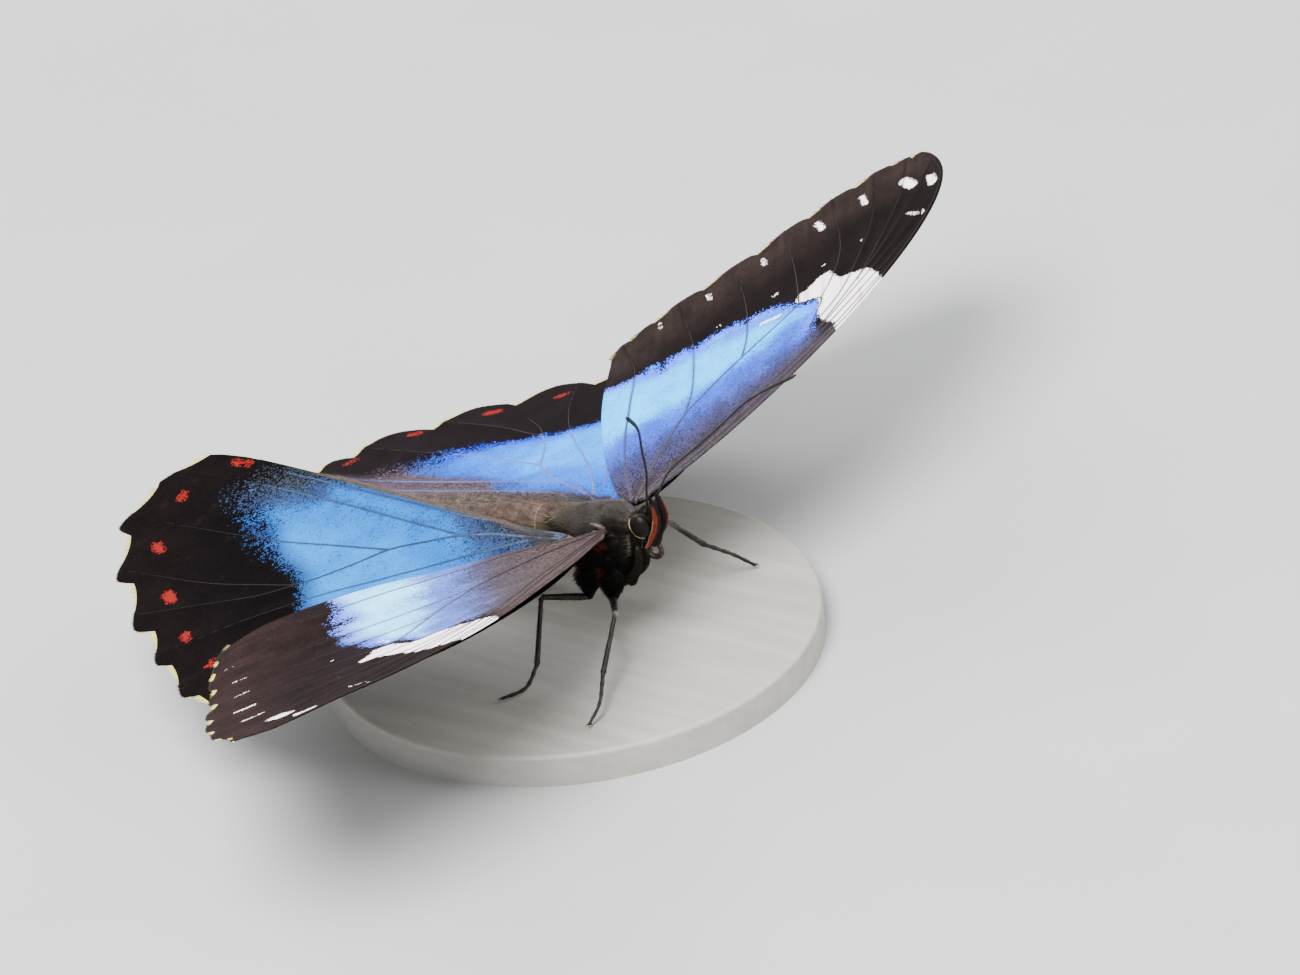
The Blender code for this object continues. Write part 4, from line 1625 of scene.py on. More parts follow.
@dataclass(frozen=True)
class EyeGloss:
    """A glossy black eye with fine facets and a pale yellow rim low at its back."""

    side: Side
    centre: Place

    def build(self) -> Material:
        """Wire the finish.

        Returns:
            The material.
        """
        graph = Paint(f"eye_gloss_{self.side.word}")
        place = graph.here()
        local = graph.vector("SUBTRACT", place, tuple(world(on_side(self.centre, self.side))))
        x, y, z = graph.split(graph.stretch(local, (1000, 1000, 1000)))
        outwards = graph.times(x, float(self.side.value))
        rear = graph.minus(graph.times(y, 0.75), graph.times(z, 0.45))
        rim = graph.times(graph.blend(rear, 0.62, 0.86), graph.blend(outwards, 0.62, 0.42))
        values = {"Vector": place, "Scale": 16000.0}
        facets = graph.wired("ShaderNodeTexVoronoi", values, feature="DISTANCE_TO_EDGE")
        sheen = graph.mix(graph.noise(place, 900, 2), (0.001, 0.0007, 0.0007), (0.0057, 0.0033, 0.0024))
        colour = graph.mix(rim, sheen, (0.2476, 0.2095, 0.0952))
        rough = graph.blend(rim, 0, 1, 0.42, 0.5)
        return graph.finish(colour, rough, 0.1, graph.bump(facets.outputs["Distance"], 0.00001, 0.25))


@dataclass(frozen=True)
class PalpStripes:
    """Palp scales: black in front and at the tip, an orange-red stripe outside, cream beside the eye."""

    name: str = "palp_scales"

    def build(self) -> Material:
        """Wire the finish from the turn and run stored on the palp.

        Returns:
            The material.
        """
        graph = Paint(self.name)
        turn, run = graph.field("turn"), graph.field("run")
        place = graph.here()
        speck = graph.noise(place, 3800, 2)
        turn = graph.plus(turn, graph.times(graph.centred(speck), 0.12))
        black = graph.mix(speck, (0.0005, 0.0005, 0.0005), (0.0105, 0.0071, 0.0057))
        orange = graph.mix(speck, (0.0667, 0.0057, 0.0029), (0.1714, 0.0214, 0.0095))
        cream = graph.mix(speck, (0.1238, 0.0952, 0.0524), (0.2857, 0.2381, 0.1524))
        stripe = graph.times(graph.blend(turn, 0.14, 0.22), graph.blend(turn, 0.55, 0.48))
        pale = graph.times(graph.blend(turn, 0.5, 0.56), graph.blend(turn, 0.68, 0.62))
        pale = graph.times(pale, graph.blend(run, 0.7, 0.5, 0.15, 0.8))
        tip = graph.blend(run, 0.86, 0.76)
        colour = graph.mix(graph.times(stripe, tip), black, orange)
        colour = graph.mix(graph.times(pale, tip), colour, cream)
        return graph.finish(colour, 0.6, 0.12)


@dataclass(frozen=True)
class PaleWood:
    """Smooth pale painted wood of the base."""

    name: str = "base_paint"

    def build(self) -> Material:
        """Wire the finish.

        Returns:
            The material.
        """
        graph = Paint(self.name)
        place = graph.here()
        grain = graph.grain(place, (420, 40, 420), 4, 0.6)
        colour = graph.mix(graph.blend(grain, 0.3, 0.7), (0.2689, 0.2569, 0.2282), (0.3135, 0.3004, 0.272))
        rough = graph.blend(graph.noise(place, 1200, 3), 0.3, 0.7, 0.48, 0.6)
        return graph.finish(colour, rough, normal=graph.bump(grain, 0.00006, 0.4))


# Body.


@dataclass(frozen=True)
class Ramp:
    """A smooth rise along one axis of the body. Axis 3 is the distance from the middle."""

    axis: int
    start: float
    span: float
    falls: bool = False

    def at(self, local: Array) -> Array:
        """The share reached at each point."""
        share = ease((local[:, self.axis] - self.start) / self.span)
        return 1 - share if self.falls else share


@dataclass(frozen=True)
class CoatStretch:
    """One stretch of the body's coat, which becomes one piece.

    Attributes:
        name: The piece's name.
        count: How many locks it has.
        limits: Axis, lowest and highest place of each bound of where it grows.
        ramps: Rises that thin it out.
        length: Length of a lock.
        width: Width of a lock.
        lift: How far a lock's middle stands off, as a share of its length.
        gain: Length added once the gain ramp is over.
        gain_ramp: Where that is added.
        taper: Length lost for each millimetre backwards.
        off_eyes: Whether it keeps off the eyes.
    """

    name: str
    count: int
    limits: Points
    ramps: tuple[Ramp, ...]
    length: float
    width: float
    lift: float
    gain: float = 0.0
    gain_ramp: Ramp = Ramp(1, 0.0, 1.0)
    taper: float = 0.0
    off_eyes: bool = False

    @property
    def slot(self) -> str:
        """The record's material slot."""
        return "abdomen_fur" if "abdomen" in self.name else "body_fur"

    def chance(self, local: Array) -> Array:
        """Each place's chance of carrying a lock.

        Args:
            local: Places in millimetres from the datum.

        Returns:
            The chance at each place.
        """
        rows = np.column_stack([local, np.abs(local[:, 0])])
        chance = np.ones(len(rows))
        for ramp in self.ramps:
            chance = chance * ramp.at(rows)
        for axis, low, high in self.limits:
            chance = chance * ((rows[:, axis] > low) & (rows[:, axis] < high))
        return chance

    def lengths(self, local: Array) -> Array:
        """The length of a lock at each place."""
        longer = self.gain * self.gain_ramp.at(local)
        return self.length + longer - self.taper * (local[:, 1] - ABDOMEN_COAT_START)


FAR = 99.0
ABDOMEN_COAT_START = 8.6
THORAX = ((1, -2.7, 9.0), (2, -8.4, FAR))
BACK = Ramp(2, -1.6, 1.2)
FLANK = Ramp(2, -1.6, 1.2, falls=True)
COAT_STRETCHES = (
    CoatStretch("thorax_back_coat", 13000, THORAX, (BACK,), 0.75, 0.05, 0.2, 0.5, Ramp(1, 4.5, 3.0)),
    CoatStretch("thorax_side_coat", 12000, THORAX, (FLANK,), 0.75, 0.055, 0.24, 0.55, Ramp(2, -5.8, -2.0)),
    CoatStretch("head_coat", 6500, ((1, -FAR, -2.3),), (), 0.42, 0.045, 0.4, off_eyes=True),
    CoatStretch("nape_coat", 1500, ((1, -FAR, 8.7), (2, -3.4, FAR)), (Ramp(1, 5.6, 1.4),), 1.9, 0.045, 0.16),
    CoatStretch("abdomen_coat", 13000, ((1, 8.4, FAR),), (), 0.55, 0.06, 0.07, taper=0.01),
    CoatStretch(
        "coxa_coat", 7000, ((2, -FAR, -7.6), (1, -FAR, 7.5)), (), 0.95, 0.05, 0.2, -0.6, Ramp(2, -8.4, -1.5)
    ),
    CoatStretch(
        "shoulder_coat", 1600, ((1, -1.5, 1.1), (2, -0.6, 1.8)), (Ramp(3, 1.5, 0.6),), 1.25, 0.05, 0.3
    ),
)


@dataclass
class Body:
    """Head, thorax, abdomen and coxae as one skin under a coat of hair, with the parts of the head."""

    effects: SharedEffects
    coat_depth: float = 0.28
    voxel: float = 0.15
    stations: Points = (
        (-2.45, 1.3, -3.3, 1), (-2.2, 1.9, -4.6, 1.5), (-1.2, 2.6, -6.5, 2.1), (0.5, 3.1, -7.8, 2.1),
        (2.5, 3.3, -8.3, 1.6), (4.8, 3.2, -8.2, 0.8), (6.8, 2.7, -7.4, 0.1), (8, 2, -6, -0.6),
        (8.8, 1.6, -5, -0.9),
    )
    eye_centre: Place = (1.55, -4.22, 0.73)
    eye_radii: Place = (0.86, 1.3, 1.47)
    head_centre: Place = (0.0, -3.95, 0.6)
    head_radii: Place = (1.75, 1.1, 1.75)
    coxae: Points = (
        (1.5, 0.8, -7.2, 1.95, 0.8, -9.9), (1.5, 4.0, -7.6, 1.9, 4.3, -10.4),
    )

    def rings(self) -> list[list[tuple[float, float, float, float]]]:
        """Stations of the thorax and of the abdomen, in one list each.

        Returns:
            Place along Y, half width, underside and top of each station.
        """
        inset = self.coat_depth
        thorax = [(y, half - inset, low + inset, top - inset) for y, half, low, top in self.stations]
        abdomen = []
        steps = 56
        for step in range(steps + 1):
            t = step / steps
            swell = math.sin(math.pi * (0.2 + 0.8 * t)) ** 0.6 if t < 1 else 0.16
            crease = 1 - 0.06 * max(0.0, math.cos(math.tau * (5.5 * t - 0.112))) ** 3
            half = 2.2 * swell * crease - 0.2 * swell
            axis = -2.7 - 2.9 * t**1.6
            abdomen.append((8.2 + 13.6 * t, half, axis - 1.1 * half, axis + 1.1 * half))
        return [thorax, abdomen]

    def oval(self, bm: BMesh, station: Sequence[float], sides: int = 40) -> list[bmesh.types.BMEdge]:
        """Add one oval ring of the body and return its edges.

        Args:
            bm: The bmesh.
            station: Place along Y, half width, underside and top.
            sides: How many sides it has.

        Returns:
            The ring's edges.
        """
        place_y, half_width, low, top = station
        place = Matrix.Translation((0.0, place_y, (top + low) / 2))
        place @= Matrix.Diagonal((half_width, 1.0, (top - low) / 2, 1.0))
        place @= Matrix.Rotation(math.radians(90), 4, "X")
        made = bmesh.ops.create_circle(bm, cap_ends=False, segments=sides, radius=1.0, matrix=place)
        ring = set(made["verts"])
        return [edge for edge in bm.edges if edge.verts[0] in ring and edge.verts[1] in ring]

    def build_skin(self) -> Mesh:
        """One seamless skin: lofted solids fused by a fine voxel remesh.

        Returns:
            The skin in metres.
        """
        bm = bmesh.new()
        for stations in self.rings():
            ys = np.array([station[0] for station in stations])
            fine = np.linspace(ys[0], ys[-1], 60)
            columns = [np.interp(fine, ys, [station[part] for station in stations]) for part in range(4)]
            loops = [self.oval(bm, row) for row in zip(*columns)]
            for ring, following in zip(loops, loops[1:]):
                bmesh.ops.bridge_loops(bm, edges=ring + following)
            for end in (loops[0], loops[-1]):
                bmesh.ops.edgeloop_fill(bm, edges=end)
        self._ball(bm, self.head_centre, [radius - 0.2 for radius in self.head_radii])
        self._ball(bm, (0.0, -2.9, 0.1), (1.25, 0.9, 1.3))
        self._ball(bm, (0.0, -4.75, -1.5), (1.0, 0.85, 1.2))
        self._ball(bm, (0.0, 8.4, -3.1), (1.75, 1.2, 1.95))
        for coxa in self.coxae:
            for side in Side:
                start, end = on_side(coxa[:3], side), on_side(coxa[3:], side)
                for share in np.linspace(0.0, 1.0, 9):
                    radius = 1.3 - 0.8 * share
                    self._ball(bm, tuple(start + (end - start) * share), (radius, radius * 1.25, radius))
        bmesh.ops.recalc_face_normals(bm, faces=bm.faces)
        mesh = mesh_of(bm, "body_lofts")
        holder = bpy.data.objects.new("body_lofts", mesh)
        remesh = holder.modifiers.new("fuse", "REMESH")
        remesh.mode = "VOXEL"
        remesh.voxel_size = self.voxel
        soften = holder.modifiers.new("soften", "SMOOTH")
        soften.factor = 0.5
        soften.iterations = 6
        skin = baked(holder)
        skin.vertices.foreach_set("co", world(vertex_places(skin)).ravel())
        skin.update()
        return skin

    def _ball(self, bm: BMesh, centre: Sequence[float], radii: Sequence[float]) -> None:
        """Add a closed ellipsoid to the solids that are fused."""
        add_ball(bm, Matrix.Translation(centre) @ Matrix.Diagonal((*radii, 1.0)), 28, 18)

    def lie_of_coat(self, local: Array) -> Array:
        """The way the hair lies at points of the body, in millimetres from the datum.

        Args:
            local: Places in millimetres from the datum.

        Returns:
            One vector for each place.
        """
        backwards = np.tile((0.0, 1.0, 0.0), (len(local), 1))
        low = ease((-local[:, 2] - 3.0) / 4.0)[:, None]
        lie = backwards + low * np.array((0.0, -0.35, -0.8))
        head = ease((-local[:, 1] - 2.6) / 0.6)[:, None]
        crown = np.stack([local[:, 0] * 0.25, np.full(len(local), -0.25), np.full(len(local), 0.9)], axis=1)
        return lie * (1 - head) + crown * head

    def clear_of_eyes(self, local: Array) -> Array:
        """Whether each place is clear of the eyes."""
        mirrored = np.stack([np.abs(local[:, 0]), local[:, 1], local[:, 2]], axis=1)
        return np.linalg.norm((mirrored - self.eye_centre) / self.eye_radii, axis=1) > 1.2

    def locks(self, skin: Mesh, stretch: CoatStretch, seed: int) -> Locks:
        """Scatter locks over a stretch of the skin.

        Args:
            skin: The skin's mesh in metres.
            stretch: The stretch of coat that they make.
            seed: Random seed.

        Returns:
            The locks.
        """
        count = stretch.count
        rng = np.random.default_rng(seed)
        skin.calc_loop_triangles()
        corners = np.empty(len(skin.loop_triangles) * 3, np.int32)
        skin.loop_triangles.foreach_get("vertices", corners)
        triangles = vertex_places(skin)[corners.reshape(-1, 3)]
        cross = np.cross(triangles[:, 1] - triangles[:, 0], triangles[:, 2] - triangles[:, 0])
        local = triangles.mean(axis=1) / MM - DATUM
        weight = np.linalg.norm(cross, axis=1) * stretch.chance(local)
        if stretch.off_eyes:
            weight = weight * self.clear_of_eyes(local)
        chosen = rng.choice(len(triangles), count, p=weight / weight.sum())
        a, b = np.sqrt(rng.random(count))[:, None], rng.random(count)[:, None]
        picked = triangles[chosen]
        roots = picked[:, 0] * (1 - a) + picked[:, 1] * a * (1 - b) + picked[:, 2] * a * b
        out = unit(cross[chosen])
        spot = roots / MM - DATUM
        lie = unit(self.lie_of_coat(spot)) + rng.normal(0, 0.3, (count, 3))
        size = stretch.lengths(spot) * rng.uniform(0.65, 1.25, count)
        widths = stretch.width * rng.uniform(0.7, 1.3, count)
        about = np.arctan2(spot[:, 0], spot[:, 2] + 3.0) / math.tau + 0.5
        unwrap = np.stack([(spot[:, 1] + 6.0) / 30.0, about], axis=1)
        return Locks(roots - out * 0.04 * MM, lie, out, size, widths, stretch.lift, unwrap)

    def build(self) -> None:
        """Make the skin, its coats, the eyes, palps, tongue and feelers."""
        skin = self.build_skin()
        covered = ["head", "thorax", "abdomen"]
        covered += [f"{leg}_{side.word}_coxa" for leg in ("midleg", "hindleg") for side in Side]
        add_piece(
            "body_skin", skin, [BodyHair(self.effects, "body_skin", False).build()], covered
        )
        hair = BodyHair(self.effects, "body_coat", True).build()
        for number, stretch in enumerate(COAT_STRETCHES):
            Coat().build(stretch.name, self.locks(skin, stretch, SEED + number), hair, stretch.slot)
        self.build_eyes()
        self.build_orbits()
        self.build_palps()
        self.build_tongue()
        self.build_feelers()
        self.build_tegulae()

    def build_tegulae(self) -> None:
        """A small curved plate over each forewing hinge, with a narrow sclerite behind it."""
        finish = Chitin((0.0105, 0.0062, 0.0048), (0.0619, 0.0405, 0.0324), "tegula", 0.5).build()
        plates = (
            ((2.72, 0.95, 0.1), (0.34, 1.0, 0.36), 12, -12),
            ((2.9, 0.75, -0.5), (0.28, 0.9, 0.2), -4, -16),
        )
        for side in Side:
            bm = bmesh.new()
            for centre, radii, pitch, yaw in plates:
                place = Matrix.Translation(world(on_side(centre, side)))
                place @= Matrix.Rotation(math.radians(yaw * side.value), 4, "Z")
                place @= Matrix.Rotation(math.radians(pitch), 4, "X")
                add_ball(bm, place @ Matrix.Diagonal((*(radius * MM for radius in radii), 1.0)), 36, 24)
            add_piece(f"tegula_{side.word}", mesh_of(bm, "tegula"), [finish])

    def build_eyes(self) -> None:
        """The two large eyes, a little flattened against the head."""
        for side in Side:
            bm = bmesh.new()
            place = Matrix.Translation(world(on_side(self.eye_centre, side)))
            place @= Matrix.Diagonal((*(radius * MM for radius in self.eye_radii), 1.0))
            add_ball(bm, place @ Matrix.Rotation(math.radians(90), 4, "Y"), 72, 48)
            finish = EyeGloss(side, self.eye_centre).build()
            add_piece(f"eyeball_{side.word}", mesh_of(bm, "eye"), [finish], [f"eye_{side.word}"])

    def build_orbits(self) -> None:
        """A thin pale rim around the rear and lower edge of each eye."""
        finish = Chitin((0.2, 0.17, 0.06), (0.42, 0.38, 0.17), "orbit_rim", 0.5).build()
        _, middle_y, middle_z = self.eye_centre
        for side in Side:
            turn = np.radians(np.linspace(30.0, -106.0, 60))
            x = np.full(60, side.value * (self.eye_centre[0] + 0.12))
            route = np.stack([x, middle_y + 1.36 * np.cos(turn), middle_z + 1.54 * np.sin(turn)], axis=1)
            radii = 0.1 * np.sin(np.linspace(0.15, math.pi - 0.15, 60)) ** 0.5
            add_piece(f"orbit_rim_{side.word}", tube_mesh([(world(route), radii)], 2), [finish])

    def build_palps(self) -> None:
        """The upturned palps, each under overlapping scales."""
        finish = PalpStripes().build()
        middle = (
            (0.95, -4.3, -2.5), (0.9, -4.85, -1.75), (0.85, -5.3, -0.8), (0.74, -5.82, 0.3),
            (0.68, -6.1, 1.8), (0.64, -5.85, 3.1), (0.58, -5.35, 4.4),
        )
        swell = (0.3, 0.5, 0.62, 0.64, 0.56, 0.42, 0.16)
        for side in Side:
            route = resample(smooth_route(on_side(middle, side), 12), 60)
            share = along(route)
            radii = np.interp(share, np.linspace(0, 1, len(swell)), swell) - 0.1
            mesh = tube_mesh([(world(route), radii)], 4)
            ahead = -0.06 if side is Side.RIGHT else 0.2
            turn, run = self._palp_fields(vertex_places(mesh), route, side)
            set_field(mesh, "turn", turn + ahead)
            set_field(mesh, "run", run)
            add_piece(f"palp_skin_{side.word}", mesh, [finish], [f"palp_{side.word}"])
            rng = np.random.default_rng(SEED + 10 + side.value)
            locks = tube_locks(route, radii, 2600, (0.22, 0.42), 0.06, 0.16, rng)
            turn, run = self._palp_fields(locks.roots, route, side)
            locks.fields = {"turn": turn + ahead, "run": run}
            Coat().build(f"palp_coat_{side.word}", locks, finish, "palp")

    def _palp_fields(self, points: Array, route: Array, side: Side) -> tuple[Array, Array]:
        """Turn about the palp, from 0 in front to 1 behind, and run along it, at world places.

        Args:
            points: World places in metres.
            route: The palp's middle line.
            side: The insect's side.

        Returns:
            The turn and the run at each place.
        """
        local = points / MM - DATUM
        nearest = np.argmin(np.linalg.norm(local[:, None, :] - route[None], axis=2), axis=1)
        tangent = unit(np.gradient(route, axis=0))
        outwards = np.array((float(side.value), 0.0, 0.0))
        front = np.cross(tangent[nearest], outwards) * -side.value
        offset = local - route[nearest]
        forward = np.sum(offset * front, axis=1)
        forward = np.where(front[:, 1] > 0, -forward, forward)
        turn = np.arctan2(offset @ outwards, forward) / math.pi
        return turn, nearest / (len(route) - 1)

    def build_tongue(self) -> None:
        """The coiled tongue between the palps."""
        turns = np.linspace(0.0, 1.5, 150)
        radius = 0.98 - 0.1 * turns
        angle = math.tau * turns
        coil = np.stack([0.3 * turns, radius * np.cos(angle), -radius * np.sin(angle)], axis=1)
        route = np.array((0.0, -4.58, -3.25)) + coil
        ribs = 1 + 0.06 * np.sin(angle * 14)
        finish = Chitin((0.0019, 0.0012, 0.001), (0.0238, 0.0133, 0.0086), "tongue", 0.3).build()
        pale = Chitin((0.0952, 0.0714, 0.0429), (0.2381, 0.2, 0.1333), "tongue_inside", 0.4).build()
        size = (0.36 - 0.08 * turns) * ribs
        split = 112
        outer = tube_mesh([(world(route[: split + 1]), size[: split + 1])], 3)
        add_piece("tongue_coil", outer, [finish], ["proboscis"])
        add_piece("tongue_tip", tube_mesh([(world(route[split:]), size[split:])], 3), [pale])

    def build_feelers(self) -> None:
        """The two ringed feelers with slim clubs."""
        finish = Chitin((0.0006, 0.0004, 0.0005), (0.005, 0.0033, 0.0034), "feeler", 0.6).build()
        routes = {
            Side.LEFT: (
                (0.6, -4.55, 2.1), (0.75, -4.95, 2.75), (2.5, -6.3, 6.2), (4.5, -8.8, 8.7), (6, -11.3, 11.1),
                (8, -15.2, 14.95), (10, -20.6, 18.3),
            ),
            Side.RIGHT: (
                (-0.6, -4.55, 2.1), (-0.75, -4.95, 2.75), (-1.5, -5.9, 6), (-2.6, -7.1, 9.2),
                (-5, -8.8, 13.9), (-8, -11, 18.9), (-11, -12, 22.4),
            ),
        }
        for side, points in routes.items():
            route = resample(smooth_route(points, 16), 240)
            share = along(route)
            radii = 0.135 + 0.1 * np.exp(-((share / 0.025) ** 2)) + 0.09 * ease((share - 0.78) / 0.14)
            radii = radii * (
                1 - 0.55 * ease((share - 0.975) / 0.025)
            ) * (1 + 0.09 * np.cos(share * math.tau * 46))
            mesh = tube_mesh([(world(route), radii)], 3)
            add_piece(f"feeler_{side.word}", mesh, [finish], [f"antenna_{side.word}"])


LEG_JOINTS = {
    "midleg_left": (
        (2, 0.8, -9.9), (9, 1.3, -5.2), (12.8, -1.8, -10.5), (16, -3.1, -13.3), (18.4, -4.3, -15.85)
    ),
    "midleg_right": (
        (-2, 0.8, -9.9), (-7.5, -3.6, -7.8), (-13, -5, -12.3), (-16, -6.3, -14.2), (-18.3, -6.2, -15.85)
    ),
    "hindleg_left": (
        (1.9, 4.3, -10.6), (6.5, 8.9, -8.2), (11.5, 11.6, -14.1), (14.3, 12.5, -15.55), (16.8, 13.8, -15.85)
    ),
    "hindleg_right": (
        (-1.9, 4.3, -10.6), (-7, 7.2, -8.5), (-12, 5.2, -14.2), (-15, 4.9, -15.55), (-17.7, 6.4, -15.85)
    ),
}


@dataclass
class Legs:
    """The four walking legs, each one continuous jointed piece, and the folded forelegs."""

    joints: dict[str, Points] = field(default_factory=LEG_JOINTS.copy)
    thigh: Points = (
        (0.0, 0.55), (0.04, 0.9), (0.2, 1.05), (0.6, 0.95), (0.92, 0.8), (0.985, 0.95), (1.0, 0.6)
    )
    shin: Points = ((0.0, 0.6), (0.02, 1.0), (0.08, 0.82), (0.5, 0.9), (0.93, 1.0), (0.985, 1.15), (1.0, 0.7))
    thick: tuple[float, ...] = (0.43, 0.34, 0.21)
    spines: tuple[int, ...] = (14, 22, 18)
    fore: Points = (
        (0.8, -2.8, -2.8), (0.75, -2.85, -4.4), (0.75, -2.2, -6.2), (0.8, -0.9, -7.7), (0.9, 0.3, -8.6)
    )

    def build(self) -> None:
        """Make every leg."""
        finish = Chitin((0.001, 0.0006, 0.0005), (0.019, 0.0124, 0.0095), "leg", 0.45, "knee").build()
        hair = BrushHair().build()
        rng = np.random.default_rng(SEED + 30)
        for name, joints in self.joints.items():
            self.build_walking(name, joints, finish, rng)
        for side in Side:
            self.build_folded(side, finish, hair)

    def segment(self, start: Array, end: Array, shape: Points, radius: float) -> tuple[Array, Array]:
        """Points and radii of one leg piece from joint to joint."""
        shares, sizes = np.array(shape).T
        return start + (end - start) * shares[:, None], radius * sizes

    def claws(self, toe: Array, ahead: Array) -> list[tuple[Array, Array]]:
        """Points and radii of a foot's two claws.

        Args:
            toe: The foot's end.
            ahead: The way it points.

        Returns:
            Points and radii of each claw.
        """
        ahead = ahead * (1, 1, 0) / np.linalg.norm(ahead[:2])
        aside = np.cross(ahead, (0.0, 0.0, 1.0))
        made = []
        for way in (-1.0, 1.0):
            bend = toe + ahead * 0.3 + aside * way * 0.16 + (0, 0, 0.05)
            tip = toe + ahead * 0.5 + aside * way * 0.24 + (0, 0, -0.12)
            made.append((np.array((toe, bend, tip)), np.array((0.09, 0.06, 0.02))))
        return made

    def spine(self, root: Array, step: Array, size: float, rng: np.random.Generator) -> tuple[Array, Array]:
        """Points and radii of one spine that stands off a leg of some radius.

        Args:
            root: Where it stands.
            step: The leg's way there.
            size: The leg's radius.
            rng: Random numbers.

        Returns:
            The spine's points and radii.
        """
        way = np.cross(step, rng.normal(0, 1, 3))
        way /= np.linalg.norm(way)
        bend = root + way * size * 0.9 + step * 0.1
        tip = root + way * (size + 0.12) + step * 0.36
        return np.array((root, bend, tip)), np.array((0.045, 0.035, 0.01))

    def build_walking(self, name: str, joints: Points, finish: Material, rng: np.random.Generator) -> None:
        """Make one walking leg.

        Args:
            name: The leg's name.
            joints: Its joints from hip to toe.
            finish: Its material.
            rng: Random numbers for the spines.
        """
        hip, knee, ankle, arch, toe = (np.array(joint) for joint in joints)
        foot = resample(smooth_route((ankle, arch, toe), 12), 46)
        share = along(foot)
        beads = 1 + 0.16 * np.cos(share * math.tau * 5) ** 3
        routes = [
            self.segment(hip, knee, self.thigh, self.thick[0]),
            self.segment(knee, ankle, self.shin, self.thick[1]),
            (foot, np.interp(share, (0, 0.1, 1), (0.27, 0.25, 0.19)) * beads),
            *self.claws(toe, toe - arch),
        ]
        for start, end, count, size in zip((hip, knee, ankle), (knee, ankle, toe), self.spines, self.thick):
            step = (end - start) / np.linalg.norm(end - start)
            for place in np.linspace(0.08, 0.95, count):
                root = start + (end - start) * place
                if end is toe:
                    root = np.array([np.interp(place, share, foot[:, axis]) for axis in range(3)])
                routes.append(self.spine(root, step, size, rng))
        mesh = tube_mesh([(world(points), radii) for points, radii in routes], 2)
        far = np.linalg.norm(vertex_places(mesh) - world(knee + (0.0, 0.0, -0.25)), axis=1) / MM
        set_field(mesh, "knee", ease((0.62 - far) / 0.3) if name.startswith("mid") else 0.0 * far)
        replaced = [f"{name}_{part}" for part in ("femur", "tibia", "tarsus")]
        add_piece(f"{name}_leg", mesh, [finish], replaced)

    def build_folded(self, side: Side, finish: Material, hair: Material) -> None:
        """Make one reduced foreleg and its brush of hair.

        Args:
            side: The insect's side.
            finish: The leg's material.
            hair: The brush's material.
        """
        route = resample(smooth_route(on_side(self.fore, side), 10), 40)
        radii = 0.42 * np.sin(math.pi * np.clip(0.12 + 0.84 * along(route), 0.0, 1.0)) ** 0.6
        mesh = tube_mesh([(world(route), radii)], 3)
        add_piece(f"foreleg_folded_{side.word}", mesh, [finish], [f"foreleg_{side.word}"])
        rng = np.random.default_rng(SEED + 70 + side.value)
        down = tube_locks(route, radii, 2600, (0.35, 0.75), 0.05, 0.3, rng)
        Coat().build(f"foreleg_coat_{side.word}", down, hair, "body_fur")


@dataclass
class Base:
    """The plain round base with a softly rounded edge."""

    radius: float = 29.0
    thickness: float = 4.0
    edge: float = 0.6

    def build(self) -> None:
        """Turn the disc and dress it."""
        bm = bmesh.new()
        radius, depth = self.radius * MM, self.thickness * MM
        place = Matrix.Translation((0.0, 0.0, depth / 2))
        bmesh.ops.create_cone(
            bm, cap_ends=True, segments=192, radius1=radius, radius2=radius, depth=depth, matrix=place
        )
        upper = [edge for edge in bm.edges if all(vert.co.z > depth * 0.9 for vert in edge.verts)]
        bmesh.ops.bevel(
            bm, geom=upper, offset=self.edge * MM, affect="EDGES", segments=6, profile=0.5, material=-1
        )
        piece = add_piece(
            "stand_disc", mesh_of(bm, "stand_disc"), [PaleWood().build()], ["stand_base"]
        )
        piece.data.set_sharp_from_angle(angle=math.radians(40))


@dataclass(frozen=True)
class Lamp:
    """A round soft light: its name, place, width in metres and power in watts."""

    name: str
    place: Place
    size: float
    power: float

    def build(self) -> None:
        """Hang the light and point it at the insect."""
        light = bpy.data.lights.new(self.name, "AREA")
        light.shape = "DISK"
        light.size = self.size
        light.energy = self.power
        lamp = bpy.data.objects.new(self.name, light)
        lamp.location = self.place
        lamp.rotation_euler = (Vector((0, 0, 0.02)) - Vector(self.place)).to_track_quat("-Z", "Y").to_euler()
        bpy.context.scene.collection.objects.link(lamp)


